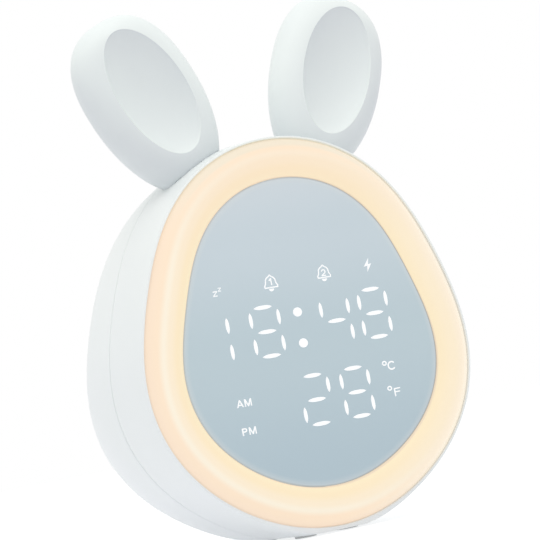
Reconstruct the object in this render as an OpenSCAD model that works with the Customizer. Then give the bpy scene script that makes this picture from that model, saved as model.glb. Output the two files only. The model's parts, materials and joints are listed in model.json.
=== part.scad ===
// Rabbit-eared bedside clock with a glowing ring night light.
// Construction frame: X right, Y from the face towards the back, Z up,
// with the centre of the display panel's front at the origin.  stand() then
// puts the finished parts on their feet, centred in X and Y.

/* [Face outline] */
// Mean radius of the display panel
panel_r = 50.4; // [47:0.1:54]
// Width of the glowing band around the panel
ring_band = 13.6; // [12:0.1:16]
// Flattening of the outline's sides
outline_pinch = 2.75; // [0:0.05:4]
// Narrowing of the outline towards the top
outline_taper = 1.97; // [0:0.05:3]
// Fullness of the outline's cheeks
outline_cheek = 0.53; // [0:0.01:1]

/* [Body] */
// Drop of the flat underside below the ring's own circle
base_gap = 2.8; // [1.8:0.1:3.4]
// Overall depth from the face to the back rim
body_depth = 84; // [76:0.5:92]
// How far the body stands out past the ring at its widest
body_swell = 1.6; // [1.2:0.1:2.4]
// Depth at which the body is widest
swell_y = 18.5; // [14:0.5:22]
// Depth of the parting line between the two shells
seam_y = 27.5; // [26:0.5:34]
// How far the back sinks below the face centre
back_sag = 5.4; // [3:0.1:8]
// Extra fullness where the body meets its flat underside
base_fullness = 1.2; // [0.8:0.1:2]
// Wall thickness of the shells
wall = 2.2; // [1.8:0.1:2.6]
// Open groove between the two shells
seam_gap = 0.3; // [0.2:0.05:0.5]

/* [Panel and ring] */
// Thickness of the display panel
panel_t = 1.7; // [1.4:0.1:2.2]
// How far the ring's crown stands in front of the panel
ring_crown = 2.2; // [1:0.1:3]
// Wall of the ring diffuser
ring_wall = 1.6; // [1.2:0.1:2]
// Depth of the floor that carries the ring and its lamps
floor_y = 9; // [8:0.5:10]
// Thickness of that floor
floor_t = 2; // [1.6:0.1:2.6]
// Number of lamps behind the ring
ring_lamps = 24; // [16:2:32]

/* [Display] */
// Height of a time digit
digit_h = 16.6; // [14:0.1:17]
// Width of a digit, stroke centre to stroke centre
digit_w = 10.5; // [9:0.1:11]
// Stroke width of the digits
stroke = 1.5; // [1.2:0.1:2.2]
// Stroke length of the digits
stroke_l = 6.2; // [5.5:0.1:6.8]

/* [Ears] */
// Distance of the ear dish beyond the ring's own circle
ear_reach = 33.5; // [32:0.1:35]
// Angle of the ear dish from straight up, in degrees
ear_turn = 21.67; // [20:0.01:23]
// Depth of the ear dish behind the face
ear_y = 9.2; // [8:0.2:12]
// Outward tilt of the ears in degrees
ear_splay = 23.7; // [20:0.1:27]
// Backward lean of the ears in degrees
ear_lean = 3; // [0:0.5:8]
// Half of the ear's greatest width
ear_half_w = 20.8; // [19:0.1:22]
// Length from the dish centre to the ear's tip
ear_tip = 29.2; // [28:0.1:32]
// Depth from the dish rim to the ear's widest line
ear_front = 8.4; // [7:0.1:10]
// Depth from the widest line to the back of the ear
ear_back = 15.6; // [13:0.1:17]
// Half width of the dish
dish_half_w = 12.95; // [11:0.1:14]
// Half length of the dish
dish_half_l = 23.6; // [21:0.1:25]
// Depth of the dish
dish_depth = 5; // [3:0.1:7]
// Radius of the stem that plugs into the body
stem_r = 5; // [4:0.1:5.5]

/* [Back panel] */
// Mean radius of the recessed back panel
back_r = 30; // [28:0.1:31]
// Thickness of the back panel
back_t = 2.2; // [1.8:0.1:2.6]
// How deep the back panel sits behind the rim
back_recess = 0.8; // [0.4:0.1:1.2]
// Radius of a push key
key_r = 3.4; // [3:0.1:3.6]
// Distance between neighbouring keys
key_pitch = 9.4; // [8.8:0.1:9.8]
// How far a key stands out of the back panel
key_proud = 1.4; // [1:0.1:1.8]
// Travel of a key
key_travel = 0.6; // [0.4:0.05:0.8]
// Width of the charging port's opening
port_w = 12.4; // [11.5:0.1:13.5]
// Height of the charging port's opening
port_h = 6.8; // [6.2:0.1:7.4]
// Radius of a sound hole
sound_r = 0.8; // [0.6:0.05:1]
// Distance between sound holes
sound_pitch = 2.7; // [2.5:0.1:3]

/* [Inner parts] */
// Thickness of the circuit boards
board_t = 1.6; // [1:0.1:2]
// Thickness of the inner chassis plate
chassis_t = 2; // [1.6:0.1:2.4]
// Radius of the battery cell
cell_r = 9.1; // [8:0.1:9.3]
// Length of the battery cell
cell_l = 65; // [60:0.5:68]
// Radius of the loudspeaker
speaker_r = 11; // [10:0.5:11.5]
// Shank radius of the screws
screw_r = 1.1; // [0.9:0.05:1.3]
// Radius of a rubber foot
foot_r = 3.8; // [3:0.1:4.2]
// How far a foot stands below the flat underside
foot_proud = 0.8; // [0.5:0.1:1.2]

/* [Clearances] */
// Gap around pieces that drop into a pocket
fit_gap = 0.15; // [0.1:0.05:0.25]
// Gap around a moving key
key_gap = 0.2; // [0.15:0.05:0.3]
// Gap between a screw's shank and its hole
screw_gap = 0.1; // [0.05:0.05:0.15]
// Gap between an ear and the body
ear_gap = 0.1; // [0.05:0.05:0.3]

/* [Hidden] */

around = 72;            // columns round an outline
fine = 48;              // facets of round details
eps = 0.01;             // overlap of joined volumes
tall = 200;             // longer than any cut
ring_r = panel_r + ring_band;
body_r = ring_r + body_swell;
ring_mid = (ring_r + panel_r) / 2;
base_drop = ring_r + base_gap;
lip_r = ring_r + 0.9;   // body edge at the ring
lip_y = 1.1;            // depth of that edge
taper_power = 3.03;     // roundness of the back
close_y = body_depth + 5;   // where the back would close to a point
full_half = 23;         // half angle of the fuller underside, degrees
seam_lip = 2.2;         // length of the tongue at the parting line
floor_back = floor_y + floor_t;

// The soft triangle that every outline shares, at angle a from straight up.
function outline(r, a) = r + outline_pinch * cos(2 * a) + outline_taper * cos(3 * a)
    - outline_cheek * cos(5 * a);
function angle_of(i, n) = 360 * i / n;

// Mean radius and centre height of the body's section at depth y.
function body_mean(y) = y < swell_y
    ? body_r - (body_r - lip_r) * pow((swell_y - y) / (swell_y - lip_y), 3)
    : body_r * pow(1 - pow((y - swell_y) / (close_y - swell_y), taper_power), 1 / taper_power);
function body_axis(y) = -back_sag * pow(max(0, y - 20) / (body_depth - 20), 1.5);
function bulge(a) = base_fullness / (1 + pow((a - 180) / full_half, 4));
function turn(a) = a < 0 ? a + 360 : a;
function scaled(r, a) = r / body_r * outline(body_r, a);
function body_radius(a, y) = body_mean(y) / body_r * (outline(body_r, a) + bulge(turn(a)));
function body_point(a, y) = let (r = body_radius(a, y))
    [r * sin(a), y, max(-base_drop, body_axis(y) + r * cos(a))];
function ring_point(a, r, y) = let (q = outline(r, a)) [q * sin(a), y, q * cos(a)];
// A point of the body's inner wall, t below the outer skin at depth y.
function inner_point(a, y, t) = let (slope = (body_mean(y + 0.1) - body_mean(y - 0.1)) / 0.2,
        n = sqrt(1 + slope * slope), r = scaled(body_mean(y) - t / n, a))
    [r * sin(a), y + t * slope / n, max(t - base_drop, body_axis(y) + r * cos(a))];
// A point of the opening in the back, at mean radius r.
function back_point(a, r, y) = let (q = scaled(r, a))
    [q * sin(a), y, body_axis(body_depth) + q * cos(a)];

// Moves the construction frame to the resting frame.
rest_h = base_drop + foot_proud;
front_reach = ring_crown;
back_reach = max(body_depth, body_depth - back_recess + key_proud);
module stand() translate([0, (front_reach - back_reach) / 2, rest_h]) children();

// Closed band: loops[i] is one ring of points and the last ring meets the first.
module band(loops) {
    n = len(loops[0]);
    m = len(loops);
    polyhedron(
        points = [for (l = loops, p = l) p],
        faces = [for (i = [0 : m - 1], j = [0 : n - 1], t = [0, 1])
            let (a = i * n + j, b = i * n + (j + 1) % n,
                c = ((i + 1) % m) * n + (j + 1) % n, d = ((i + 1) % m) * n + j)
            t == 0 ? [a, b, c] : [a, c, d]]);
}

// Closed skin: rings of points between two end points.
module skin(first, loops, last) {
    n = len(loops[0]);
    m = len(loops);
    end = m * n + 1;
    polyhedron(
        points = concat([first], [for (l = loops, p = l) p], [last]),
        faces = concat(
            [for (j = [0 : n - 1]) [0, 1 + (j + 1) % n, 1 + j]],
            [for (i = [0 : m - 2], j = [0 : n - 1], t = [0, 1])
                let (a = 1 + i * n + j, b = 1 + i * n + (j + 1) % n,
                    c = 1 + (i + 1) * n + (j + 1) % n, d = 1 + (i + 1) * n + j)
                t == 0 ? [a, b, c] : [a, c, d]],
            [for (j = [0 : n - 1]) [1 + (m - 1) * n + j, 1 + (m - 1) * n + (j + 1) % n, end]]));
}

// A flat plate with the shared outline, from depth y0 to y1.
module plate(r, y0, y1)
    translate([0, y1, 0]) rotate([90, 0, 0]) linear_extrude(y1 - y0)
        polygon([for (i = [0 : around - 1]) let (a = angle_of(i, around)) outline(r, a) * [sin(a), cos(a)]]);
// A round bar along the depth, from y0 to y1, at x and z.
module bar(x, z, r, y0, y1) translate([x, y1, z]) rotate([90, 0, 0]) cylinder(r = r, h = y1 - y0, $fn = fine);
module block(x0, y0, z0, x1, y1, z1) translate([x0, y0, z0]) cube([x1 - x0, y1 - y0, z1 - z0]);

// ---- shells ----
aperture_r = panel_r - 2;        // opening behind the panel
rim_r = panel_r - 0.2;           // wall that the panel rests on
pocket_r = ring_r + fit_gap;     // channel for the glowing ring
lip_half = wall / 2;             // where the seam's tongue begins
lip_depth = seam_lip + fit_gap;
back_face = body_depth - back_recess;
back_inner = back_face - back_t;
ledge = 1.8;                     // ledge that carries the back panel
loop_angles = [for (i = [0 : around - 1]) angle_of(i, around)];

front_outer = [0, 0.09, 0.27, 0.5, 0.75, 1];
pillar_r = 3;
pillar_at = ring_mid + 0.3;
pillar_angles = [68, 128, 232, 292];
display_screw_at = panel_r + 0.5;
display_screw_angles = [38, 142, 218, 322];
foot_x = 8.2;
foot_front = 14.5;
foot_rear = 44;
foot_sunk = 0.5;

function at_outline(r, a) = outline(r, a) * [sin(a), cos(a)];
lead_hole = at_outline(ring_mid - 1, 211.7);
lead_hole_r = 1.9;

module foot_shape(y, r, top) for (x = [-foot_x, foot_x])
    translate([x, y, -base_drop - foot_proud]) cylinder(r = r, h = foot_proud + top, $fn = fine);

module front_shell() stand() color("white") difference() {
    band(concat(
        [for (f = front_outer) let (y = lip_y + (seam_y - lip_y) * f) [for (a = loop_angles) body_point(a, y)]],
        [[for (a = loop_angles) inner_point(a, seam_y, lip_half)],
         [for (a = loop_angles) inner_point(a, seam_y - lip_depth, lip_half)],
         [for (a = loop_angles) inner_point(a, seam_y - lip_depth, wall)],
         [for (a = loop_angles) inner_point(a, floor_back + 1.2, wall)],
         [for (a = loop_angles) ring_point(a, ring_r - wall, floor_back)],
         [for (a = loop_angles) ring_point(a, aperture_r, floor_back)],
         [for (a = loop_angles) ring_point(a, aperture_r, panel_t)],
         [for (a = loop_angles) ring_point(a, rim_r, panel_t)],
         [for (a = loop_angles) ring_point(a, rim_r, floor_y)],
         [for (a = loop_angles) ring_point(a, pocket_r, floor_y)],
         [for (a = loop_angles) ring_point(a, pocket_r, lip_y + 0.5)]]));
    for (a = pillar_angles) let (p = at_outline(pillar_at, a))
        bar(p.x, p.y, screw_r + screw_gap, floor_y + 0.2, floor_back + 1);
    for (a = display_screw_angles) let (p = at_outline(display_screw_at, a))
        bar(p.x, p.y, screw_r + screw_gap, floor_y + 0.2, floor_back + 1);
    bar(lead_hole.x, lead_hole.y, lead_hole_r, floor_y - 1, floor_back + 1);
    for (side = [-1, 1]) ear_frame(side) stem_bar(stem_r + fit_gap, -ear_root, -stem_top);
    foot_shape(foot_front, foot_r + fit_gap, foot_sunk + fit_gap);
}

rear_outer = [0, 0.07, 0.18, 0.31, 0.44, 0.57, 0.68, 0.78, 0.86, 0.92, 0.96, 0.985, 1];
rear_inner = [0.985, 0.93, 0.86, 0.78, 0.68, 0.57, 0.44, 0.31, 0.18, 0];
rear_start = seam_y + seam_gap;
function rear_y(f) = rear_start + (body_depth - rear_start) * f;

module rear_shell() stand() color("white") difference() {
    band(concat(
        [for (f = rear_outer) [for (a = loop_angles) body_point(a, rear_y(f))]],
        [[for (a = loop_angles) back_point(a, back_r + fit_gap, body_depth)],
         [for (a = loop_angles) back_point(a, back_r + fit_gap, back_inner)],
         [for (a = loop_angles) back_point(a, back_r - ledge, back_inner)],
         [for (a = loop_angles) back_point(a, back_r - ledge, back_inner - ledge)],
         [for (a = loop_angles) back_point(a, back_r + fit_gap + wall, back_inner - ledge)],
         [for (a = loop_angles) back_point(a, back_r + fit_gap + wall, body_depth - wall)]],
        [for (f = rear_inner) [for (a = loop_angles) inner_point(a, rear_y(f), wall)]],
        [[for (a = loop_angles) inner_point(a, seam_y - seam_lip, wall)],
         [for (a = loop_angles) inner_point(a, seam_y - seam_lip, lip_half + fit_gap)],
         [for (a = loop_angles) inner_point(a, rear_start, lip_half + fit_gap)]]));
    foot_shape(foot_rear, foot_r + fit_gap, foot_sunk + fit_gap);
}

module feet() stand() color("gainsboro") {
    foot_shape(foot_front, foot_r, foot_sunk);
    foot_shape(foot_rear, foot_r, foot_sunk);
}

// ---- ring and panel ----
crown_power = 2.2;
crown_steps = 10;
ring_outer_y = 1.9;
ring_inner_y = 0.1;
// Height of the ring's skin at t, from 0 at the outer edge to 1 at the inner.
function crown(t) = -ring_crown + pow(abs(2 * t - 1), crown_power)
    * (ring_crown + (t < 0.5 ? ring_outer_y : ring_inner_y));
function crown_loop(r0, r1, shift, from, to, step) = [for (k = [from : step : to])
    let (t = k / crown_steps, r = r0 + (r1 - r0) * t, y = crown(t) + shift)
    [for (a = loop_angles) ring_point(a, r, y)]];
ring_in = panel_r + fit_gap;

module light_ring() stand() color("moccasin") band(concat(
    [[for (a = loop_angles) ring_point(a, ring_r, floor_y)]],
    crown_loop(ring_r, ring_in, 0, 0, crown_steps, 1),
    [[for (a = loop_angles) ring_point(a, ring_in, floor_y)],
     [for (a = loop_angles) ring_point(a, ring_in + ring_wall, floor_y)]],
    crown_loop(ring_r - ring_wall, ring_in + ring_wall, ring_wall, crown_steps - 1, 1, -2),
    [[for (a = loop_angles) ring_point(a, ring_r - ring_wall, floor_y)]]));

module display_panel() stand() color("lightsteelblue") plate(panel_r, 0, panel_t);

module ring_board() stand() color("white") difference() {
    plate(ring_r - ring_wall - 0.3, floor_y - board_t, floor_y);
    plate(ring_in + ring_wall + 0.3, floor_y - board_t - 1, floor_y + 1);
    bar(lead_hole.x, lead_hole.y, lead_hole_r, floor_y - board_t - 1, floor_y + 1);
}

lamp_w = 2.8;
lamp_t = 0.9;
module ring_lamps_strip() stand() color("lemonchiffon")
    for (i = [0 : ring_lamps - 1]) let (a = angle_of(i + 0.5, ring_lamps),
            p = at_outline(ring_mid, a))
        translate([p.x, floor_y - board_t - lamp_t, p.y]) rotate([0, a, 0])
            translate([-lamp_w / 2, 0, -lamp_w / 2]) cube([lamp_w, lamp_t, lamp_w]);

// ---- display ----
time_z = 3.45;
time_x = [-15.4, 11.7, 26.95];
one_x = -29.6;
colon_x = -2.55;
colon_z = [8.3, -2.3];
colon_r = 1.55;
temp_x = [-1.7, 14.3];
temp_z = -22.1;
// Places of the small signs: x, z, half width, half height
signs = [[-31, 19.5, 2, 1.6], [-10.4, 19.6, 2.1, 2.2], [10.3, 20, 2.1, 2.2], [27.7, 20.4, 1.4, 2.2],
    [-28.7, -18.9, 3, 1.6], [-28.9, -28.3, 3, 1.6], [28.3, -15, 2.6, 1.8], [28.5, -23.9, 2.6, 1.8]];
digits = concat([for (x = time_x) [x, time_z]], [for (x = temp_x) [x, temp_z]]);
half_h = digit_h / 2;
half_w = digit_w / 2;
// The seven strokes of a digit: x, z and whether the stroke stands upright.
strokes = [[0, half_h, 0], [0, 0, 0], [0, -half_h, 0],
    [-half_w, half_h / 2, 1], [half_w, half_h / 2, 1], [-half_w, -half_h / 2, 1], [half_w, -half_h / 2, 1]];
all_strokes = concat([for (d = digits, s = strokes) [d.x + s.x, d.y + s.y, s.z]],
    [[one_x, time_z + half_h / 2, 1], [one_x, time_z - half_h / 2, 1]]);

module stroke_shape(grow) polygon([for (e = [[0, 1], [1, 1], [1, -1], [0, -1], [-1, -1], [-1, 1]])
    [e.x * (stroke / 2 + grow), e.y * (abs(e.x) > 0 ? stroke_l / 2 - stroke / 2 : stroke_l / 2 + grow)]]);
module windows(grow, y0, y1) {
    for (s = all_strokes) translate([s.x, y1, s.y]) rotate([90, 0, 0])
        linear_extrude(y1 - y0) rotate(s.z == 1 ? 0 : 90) stroke_shape(grow);
    for (z = colon_z) bar(colon_x, z, colon_r + grow, y0, y1);
    for (g = signs) block(g[0] - g[2] - grow, y0, g[1] - g[3] - grow,
        g[0] + g[2] + grow, y1, g[1] + g[3] + grow);
}

reflector_y = panel_t + 0.1;
mask_t = 1.6;
tower = 1.6;
digit_reach = half_w + stroke / 2 + tower;
module segment_reflector() stand() color("dimgray") difference() {
    union() {
        plate(aperture_r - fit_gap, reflector_y, reflector_y + mask_t);
        for (d = digits) block(d.x - digit_reach, reflector_y, d.y - half_h - stroke / 2 - tower,
            d.x + digit_reach, floor_back, d.y + half_h + stroke / 2 + tower);
        block(one_x - stroke / 2 - tower, reflector_y, time_z - half_h - tower,
            one_x + stroke / 2 + tower, floor_back, time_z + half_h + tower);
        block(colon_x - colon_r - tower, reflector_y, colon_z[1] - colon_r - tower,
            colon_x + colon_r + tower, floor_back, colon_z[0] + colon_r + tower);
        for (g = signs) block(g[0] - g[2] - tower, reflector_y, g[1] - g[3] - tower,
            g[0] + g[2] + tower, floor_back, g[1] + g[3] + tower);
    }
    windows(0, 0, floor_back + 1);
}

guide_l = 5;
module segment_diffusers() stand() color("white") windows(-fit_gap / 2, reflector_y, reflector_y + guide_l);

display_board_r = panel_r + 2.6;
module display_board() stand() color("seagreen") difference() {
    plate(display_board_r, floor_back, floor_back + board_t);
    for (a = display_screw_angles) let (p = at_outline(display_screw_at, a))
        bar(p.x, p.y, screw_r + screw_gap, floor_back - 1, floor_back + board_t + 1);
}

chip_w = 1.2;
chip_t = 0.8;
module display_lamps() stand() color("khaki") for (p = concat(all_strokes,
        [for (z = colon_z) [colon_x, z]], [for (g = signs) [g[0], g[1]]]))
    block(p.x - chip_w / 2, floor_back - chip_t, p.y - chip_w / 2,
        p.x + chip_w / 2, floor_back, p.y + chip_w / 2);

// A screw along the depth with its head at y1 and its tip at y0.
head_r = 2;
head_t = 1.3;
module screw(x, z, y0, y1) {
    bar(x, z, screw_r, y0, y1 + eps);
    difference() {
        bar(x, z, head_r, y1, y1 + head_t);
        for (turn_by = [0, 90]) translate([x, y1 + head_t / 2, z]) rotate([0, turn_by, 0])
            block(-1.2, 0, -0.25, 1.2, head_t, 0.25);
    }
}

module display_screws() stand() color("silver") for (a = display_screw_angles)
    let (p = at_outline(display_screw_at, a)) screw(p.x, p.y, floor_y + 0.4, floor_back + board_t);

// ---- ears ----
ear_root = 36.6;        // length below the dish centre, part of it inside the body
tip_power = 0.8;        // squareness of the tip
stem_d = 11;            // depth of the stem's axis behind the dish rim
stem_top = 18;          // how far below the dish centre the stem begins
dish_steps = [0.3, 0.55, 0.78, 0.93, 1];
arc_cols = 28;
base_cols = 8;
corner_max = 150;
lift_max = 16;
ear_u = [sin(ear_splay) * cos(ear_lean), sin(ear_lean), cos(ear_splay) * cos(ear_lean)];
ear_v = [cos(ear_splay), 0, -sin(ear_splay)];
ear_n = cross(ear_u, ear_v);
ear_centre = [(ring_r + ear_reach) * sin(ear_turn), ear_y, (ring_r + ear_reach) * cos(ear_turn)];
// Rows of the ear: share of the way from the dish edge to the outline, depth, scale
ear_rows = concat(
    [for (b = [12 : 13 : 90]) [sin(b), ear_front * (1 - cos(b)), 1]],
    [for (g = [16, 32, 46, 58, 69, 79, 86]) [1, ear_front + ear_back * pow(sin(g), 0.95), cos(g)]]);

function ear_world(p) = ear_centre + p.x * ear_v + p.y * ear_n + p.z * ear_u;
function in_body(q) = let (h = q.z - body_axis(q.y))
    norm([q.x, h]) < body_radius(atan2(q.x, h), q.y) + ear_gap;
function dish_curve(f) = [dish_half_w * sin(f), dish_half_l * cos(f)];
function full_curve(f, k) = cos(f) > 0
    ? [k * ear_half_w * sign(sin(f)) * pow(abs(sin(f)), tip_power), k * ear_tip * pow(cos(f), tip_power)]
    : [k * ear_half_w * sin(f), pow(k, 0.5) * ear_root * cos(f)];
function row_curve(row, f) = let (c = dish_curve(f) + (full_curve(f, row[2]) - dish_curve(f)) * row[0])
    [c.x, row[1], c.y];
// Angle at which a row's outline dips into the body, found by halving.
function corner(row, side, lo = 60, hi = corner_max, n = 14) = n == 0 ? lo
    : let (mid = (lo + hi) / 2) in_body(ear_world(row_curve(row, side * mid)))
        ? corner(row, side, lo, mid, n - 1) : corner(row, side, mid, hi, n - 1);
// Height at which a point that lies in the body comes out of it.
function lift(p, lo = 0, hi = lift_max, n = 16) = n == 0 ? hi
    : let (mid = (lo + hi) / 2) in_body(ear_world(p + [0, 0, mid]))
        ? lift(p, mid, hi, n - 1) : lift(p, lo, mid, n - 1);
function lifted(p) = in_body(ear_world(p)) ? p + [0, 0, lift(p)] : p;
function row_angles(left, right) = concat(
    [for (j = [0 : arc_cols - 1]) -left + (left + right) * j / (arc_cols - 1)],
    [for (j = [1 : base_cols]) right + (360 - left - right) * j / (base_cols + 1)]);
function ear_loop(row) = [for (f = row_angles(corner(row, -1), corner(row, 1))) lifted(row_curve(row, f))];
function dish_loop(t) = [for (f = row_angles(140, 140))
    let (c = dish_curve(f) * t) [c.x, dish_depth * pow(1 - t * t, 0.8), c.y]];

module ear_frame(side) mirror([side < 0 ? 1 : 0, 0, 0]) multmatrix([
    [ear_v.x, ear_n.x, ear_u.x, ear_centre.x],
    [ear_v.y, ear_n.y, ear_u.y, ear_centre.y],
    [ear_v.z, ear_n.z, ear_u.z, ear_centre.z], [0, 0, 0, 1]]) children();

screw_reach = 8;
washer_r = 6.4;
washer_t = 1;
washer_gap = 0.25;       // least room between a washer and the shell's inner wall
// Room between a point and the shell's inner wall, and the least of it round a washer at height -h.
function wall_room(q) = let (h = q.z - body_axis(q.y))
    scaled(body_mean(q.y) - wall, atan2(q.x, h)) - norm([q.x, h]);
function washer_room(h) = min([for (t = [0 : 30 : 330])
    wall_room(ear_world([washer_r * cos(t), stem_d + washer_r * sin(t), -h]))]);
// Height below the dish centre at which a washer seats against the wall, found by halving.
function washer_seat(lo, hi, n = 16) = n == 0 ? hi : let (mid = (lo + hi) / 2)
    washer_room(mid) > washer_gap ? washer_seat(lo, mid, n - 1) : washer_seat(mid, hi, n - 1);
stem_end = washer_seat(stem_top, ear_root);

// A round bar along the ear's stem, from height z0 to z1 of the ear's own frame.
module stem_bar(r, z0, z1) translate([0, stem_d, z0]) cylinder(r = r, h = z1 - z0, $fn = fine);
module ear(side) stand() color("white") ear_frame(side) difference() {
    skin([0, dish_depth, 0],
        concat([for (t = dish_steps) dish_loop(t)], [for (row = ear_rows) ear_loop(row)]),
        [0, ear_front + ear_back, 0]);
    stem_bar(stem_r + fit_gap, -ear_root - 1, fit_gap - stem_top);
}
module ear_left() ear(-1);
module ear_right() ear(1);
module ear_stems() stand() color("white") for (side = [-1, 1]) ear_frame(side) difference() {
    stem_bar(stem_r, -stem_end, -stem_top);
    stem_bar(screw_r + screw_gap, -stem_end - 1, screw_reach + 0.5 - stem_end);
}

module ear_washers() stand() color("silver") for (side = [-1, 1]) ear_frame(side) difference() {
    stem_bar(washer_r, -stem_end - washer_t, -stem_end);
    stem_bar(screw_r + screw_gap, -stem_end - washer_t - 1, -stem_end + 1);
}
module ear_screws() stand() color("silver") for (side = [-1, 1]) ear_frame(side) {
    stem_bar(head_r, -stem_end - washer_t - head_t, -stem_end - washer_t);
    stem_bar(screw_r, -stem_end - washer_t - eps, screw_reach - stem_end);
}

// ---- chassis and battery ----
chassis_y = 14.6;
chassis_back = chassis_y + chassis_t;
chassis_r = panel_r - 1.4;
arm_half = 2.4;          // half width of the arms that carry the pillars
post_r = 3;
post_split = body_depth - 30;    // where the chassis posts meet the back panel's tubes
housing_x = back_r - 11.5;
housing_high = back_r / 2;          // upper screws above the back panel's centre
housing_low = -back_r / 2 - 1;      // lower screws below it
back_z = body_axis(body_depth);
housing_at = [[-housing_x, back_z + housing_high], [housing_x, back_z + housing_high],
    [-housing_x, back_z + housing_low], [housing_x, back_z + housing_low]];
cell_z = -42;
cell_gap = 0.3;
cell_y = chassis_back + cell_gap + cell_r;
saddle_x = 22;
saddle_half = 1.5;
strap_half = 5;
strap_t = 1.5;
strap_foot = 6;

module cell_bar(r, half) translate([-half, cell_y, cell_z]) rotate([0, 90, 0])
    cylinder(r = r, h = 2 * half, $fn = fine);

module chassis() stand() color("whitesmoke") difference() {
    union() {
        plate(chassis_r, chassis_y, chassis_back);
        for (a = pillar_angles) let (p = at_outline(pillar_at, a)) {
            bar(p.x, p.y, pillar_r, floor_back, chassis_back);
            translate([0, chassis_y, 0]) rotate([0, a, 0])
                block(-arm_half, 0, chassis_r - 8, arm_half, chassis_t, norm(p));
        }
        for (h = housing_at) bar(h.x, h.y, post_r, chassis_back - eps, post_split);
        for (x = [-saddle_x, saddle_x]) difference() {
            block(x - saddle_half, chassis_back - eps, cell_z - cell_r - 1,
                x + saddle_half, cell_y, cell_z + cell_r + 1);
            cell_bar(cell_r + cell_gap / 2, saddle_x + 2 * saddle_half);
        }
    }
    for (a = pillar_angles) let (p = at_outline(pillar_at, a))
        bar(p.x, p.y, screw_r + screw_gap, floor_back - 1, chassis_back + 1);
    for (h = housing_at) bar(h.x, h.y, screw_r + screw_gap, post_split - 14, post_split + 1);
    for (z = strap_screw_z) bar(0, z, screw_r + screw_gap, chassis_y - 1, chassis_back + 1);
    block(-11, chassis_y - 1, -16, 11, chassis_back + 1, 24);
}

module chassis_screws() stand() color("silver") for (a = pillar_angles)
    let (p = at_outline(pillar_at, a)) screw(p.x, p.y, floor_y + 0.4, chassis_back);

module battery_cell() stand() color("steelblue") {
    cell_bar(cell_r, cell_l / 2);
    translate([cell_l / 2 - eps, cell_y, cell_z]) rotate([0, 90, 0]) cylinder(r = 3, h = 1, $fn = fine);
}

strap_r = cell_r + cell_gap / 2;
strap_screw_z = [cell_z - strap_r - strap_t - strap_foot / 2, cell_z + strap_r + strap_t + strap_foot / 2];
module battery_strap() stand() color("whitesmoke") difference() {
    union() {
        difference() {
            cell_bar(strap_r + strap_t, strap_half);
            block(-strap_half - 1, chassis_back - 5, cell_z - 2 * cell_r,
                strap_half + 1, cell_y, cell_z + 2 * cell_r);
        }
        for (side = [-1, 1]) let (middle = cell_z + side * (strap_r + strap_t / 2))
            block(-strap_half, chassis_back, middle - strap_t / 2, strap_half, cell_y + eps, middle + strap_t / 2);
        for (z = strap_screw_z) block(-strap_half, chassis_back, z - strap_foot / 2 - eps,
            strap_half, chassis_back + strap_t, z + strap_foot / 2 + eps);
    }
    cell_bar(strap_r, strap_half + 1);
    for (z = strap_screw_z) bar(0, z, screw_r + screw_gap, chassis_back - 1, chassis_back + strap_t + 1);
}
module strap_screws() stand() color("silver") for (z = strap_screw_z)
    screw(0, z, chassis_y + 0.3, chassis_back + strap_t);

// ---- back panel, keys and main board ----
key_x = [-2, -1, 0, 1, 2];
key_z = back_z;
key_flange_t = 1;
key_flange = 0.7;
switch_h = 3.2;
plunger_h = 0.7;
board_gap = 6.5;         // from the main board to the back panel
board_back = back_inner - board_gap;
board_front = board_back - board_t;
main_w = 23;
main_top = back_z + 5.5;
main_low = back_z - 25;
port_z = back_z - 17;
reset_at = [12, port_z];
sensor_at = [-12.5, port_z];
speaker_z = back_z + 17;
collar_t = 1.3;
collar_h = 6;
grille_r = 9.2;
tube_r = 3;
head_well = head_r + 0.3;
web_t = 3;

module stadium(w, h, y0, y1, z) {
    for (x = [-1, 1]) bar(x * (w - h) / 2, z, h / 2, y0, y1);
    block(-(w - h) / 2, y0, z - h / 2, (w - h) / 2, y1, z + h / 2);
}
// Sound holes on rings round the centre of the loudspeaker.
module sound_holes(y0, y1) {
    bar(0, speaker_z, sound_r, y0, y1);
    for (k = [1 : floor((grille_r - sound_r) / sound_pitch)], i = [0 : 6 * k - 1])
        bar(k * sound_pitch * sin(60 * i / k), speaker_z + k * sound_pitch * cos(60 * i / k), sound_r, y0, y1);
}
post_at = [[-main_w + 3, key_z - 8], [main_w - 3, key_z - 8], [-8, main_low + 3], [8, main_low + 3]];

module back_panel() stand() color("white") difference() {
    union() {
        translate([0, back_face, back_z]) rotate([90, 0, 0]) linear_extrude(back_t)
            polygon([for (a = loop_angles) scaled(back_r, a) * [sin(a), cos(a)]]);
        for (h = housing_at) bar(h.x, h.y, tube_r, post_split, back_inner + eps);
        bar(0, speaker_z, speaker_r + fit_gap + collar_t, back_inner - collar_h, back_inner + eps);
        for (p = post_at) bar(p.x, p.y, 2.4, board_back, back_inner + eps);
    }
    for (h = housing_at) {
        bar(h.x, h.y, head_well, post_split + web_t, back_face + 1);
        bar(h.x, h.y, screw_r + screw_gap, post_split - 1, back_face);
    }
    bar(0, speaker_z, speaker_r + fit_gap, back_inner - collar_h - 1, back_inner);
    sound_holes(back_inner - 1, back_face + 1);
    for (i = key_x) bar(i * key_pitch, key_z, key_r + key_gap, back_inner - 1, back_face + 1);
    for (p = post_at) bar(p.x, p.y, screw_r + screw_gap, board_back - 1, board_back + 5);
    stadium(port_w, port_h, back_inner - 1, back_face + 1, port_z);
    bar(reset_at.x, reset_at.y, 0.7, back_inner - 1, back_face + 1);
    for (dx = [-2, 0, 2]) bar(sensor_at.x + dx, sensor_at.y, 0.7, back_inner - 1, back_face + 1);
}

module housing_screws() stand() color("silver") for (h = housing_at)
    screw(h.x, h.y, post_split - 12, post_split + web_t);

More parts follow.
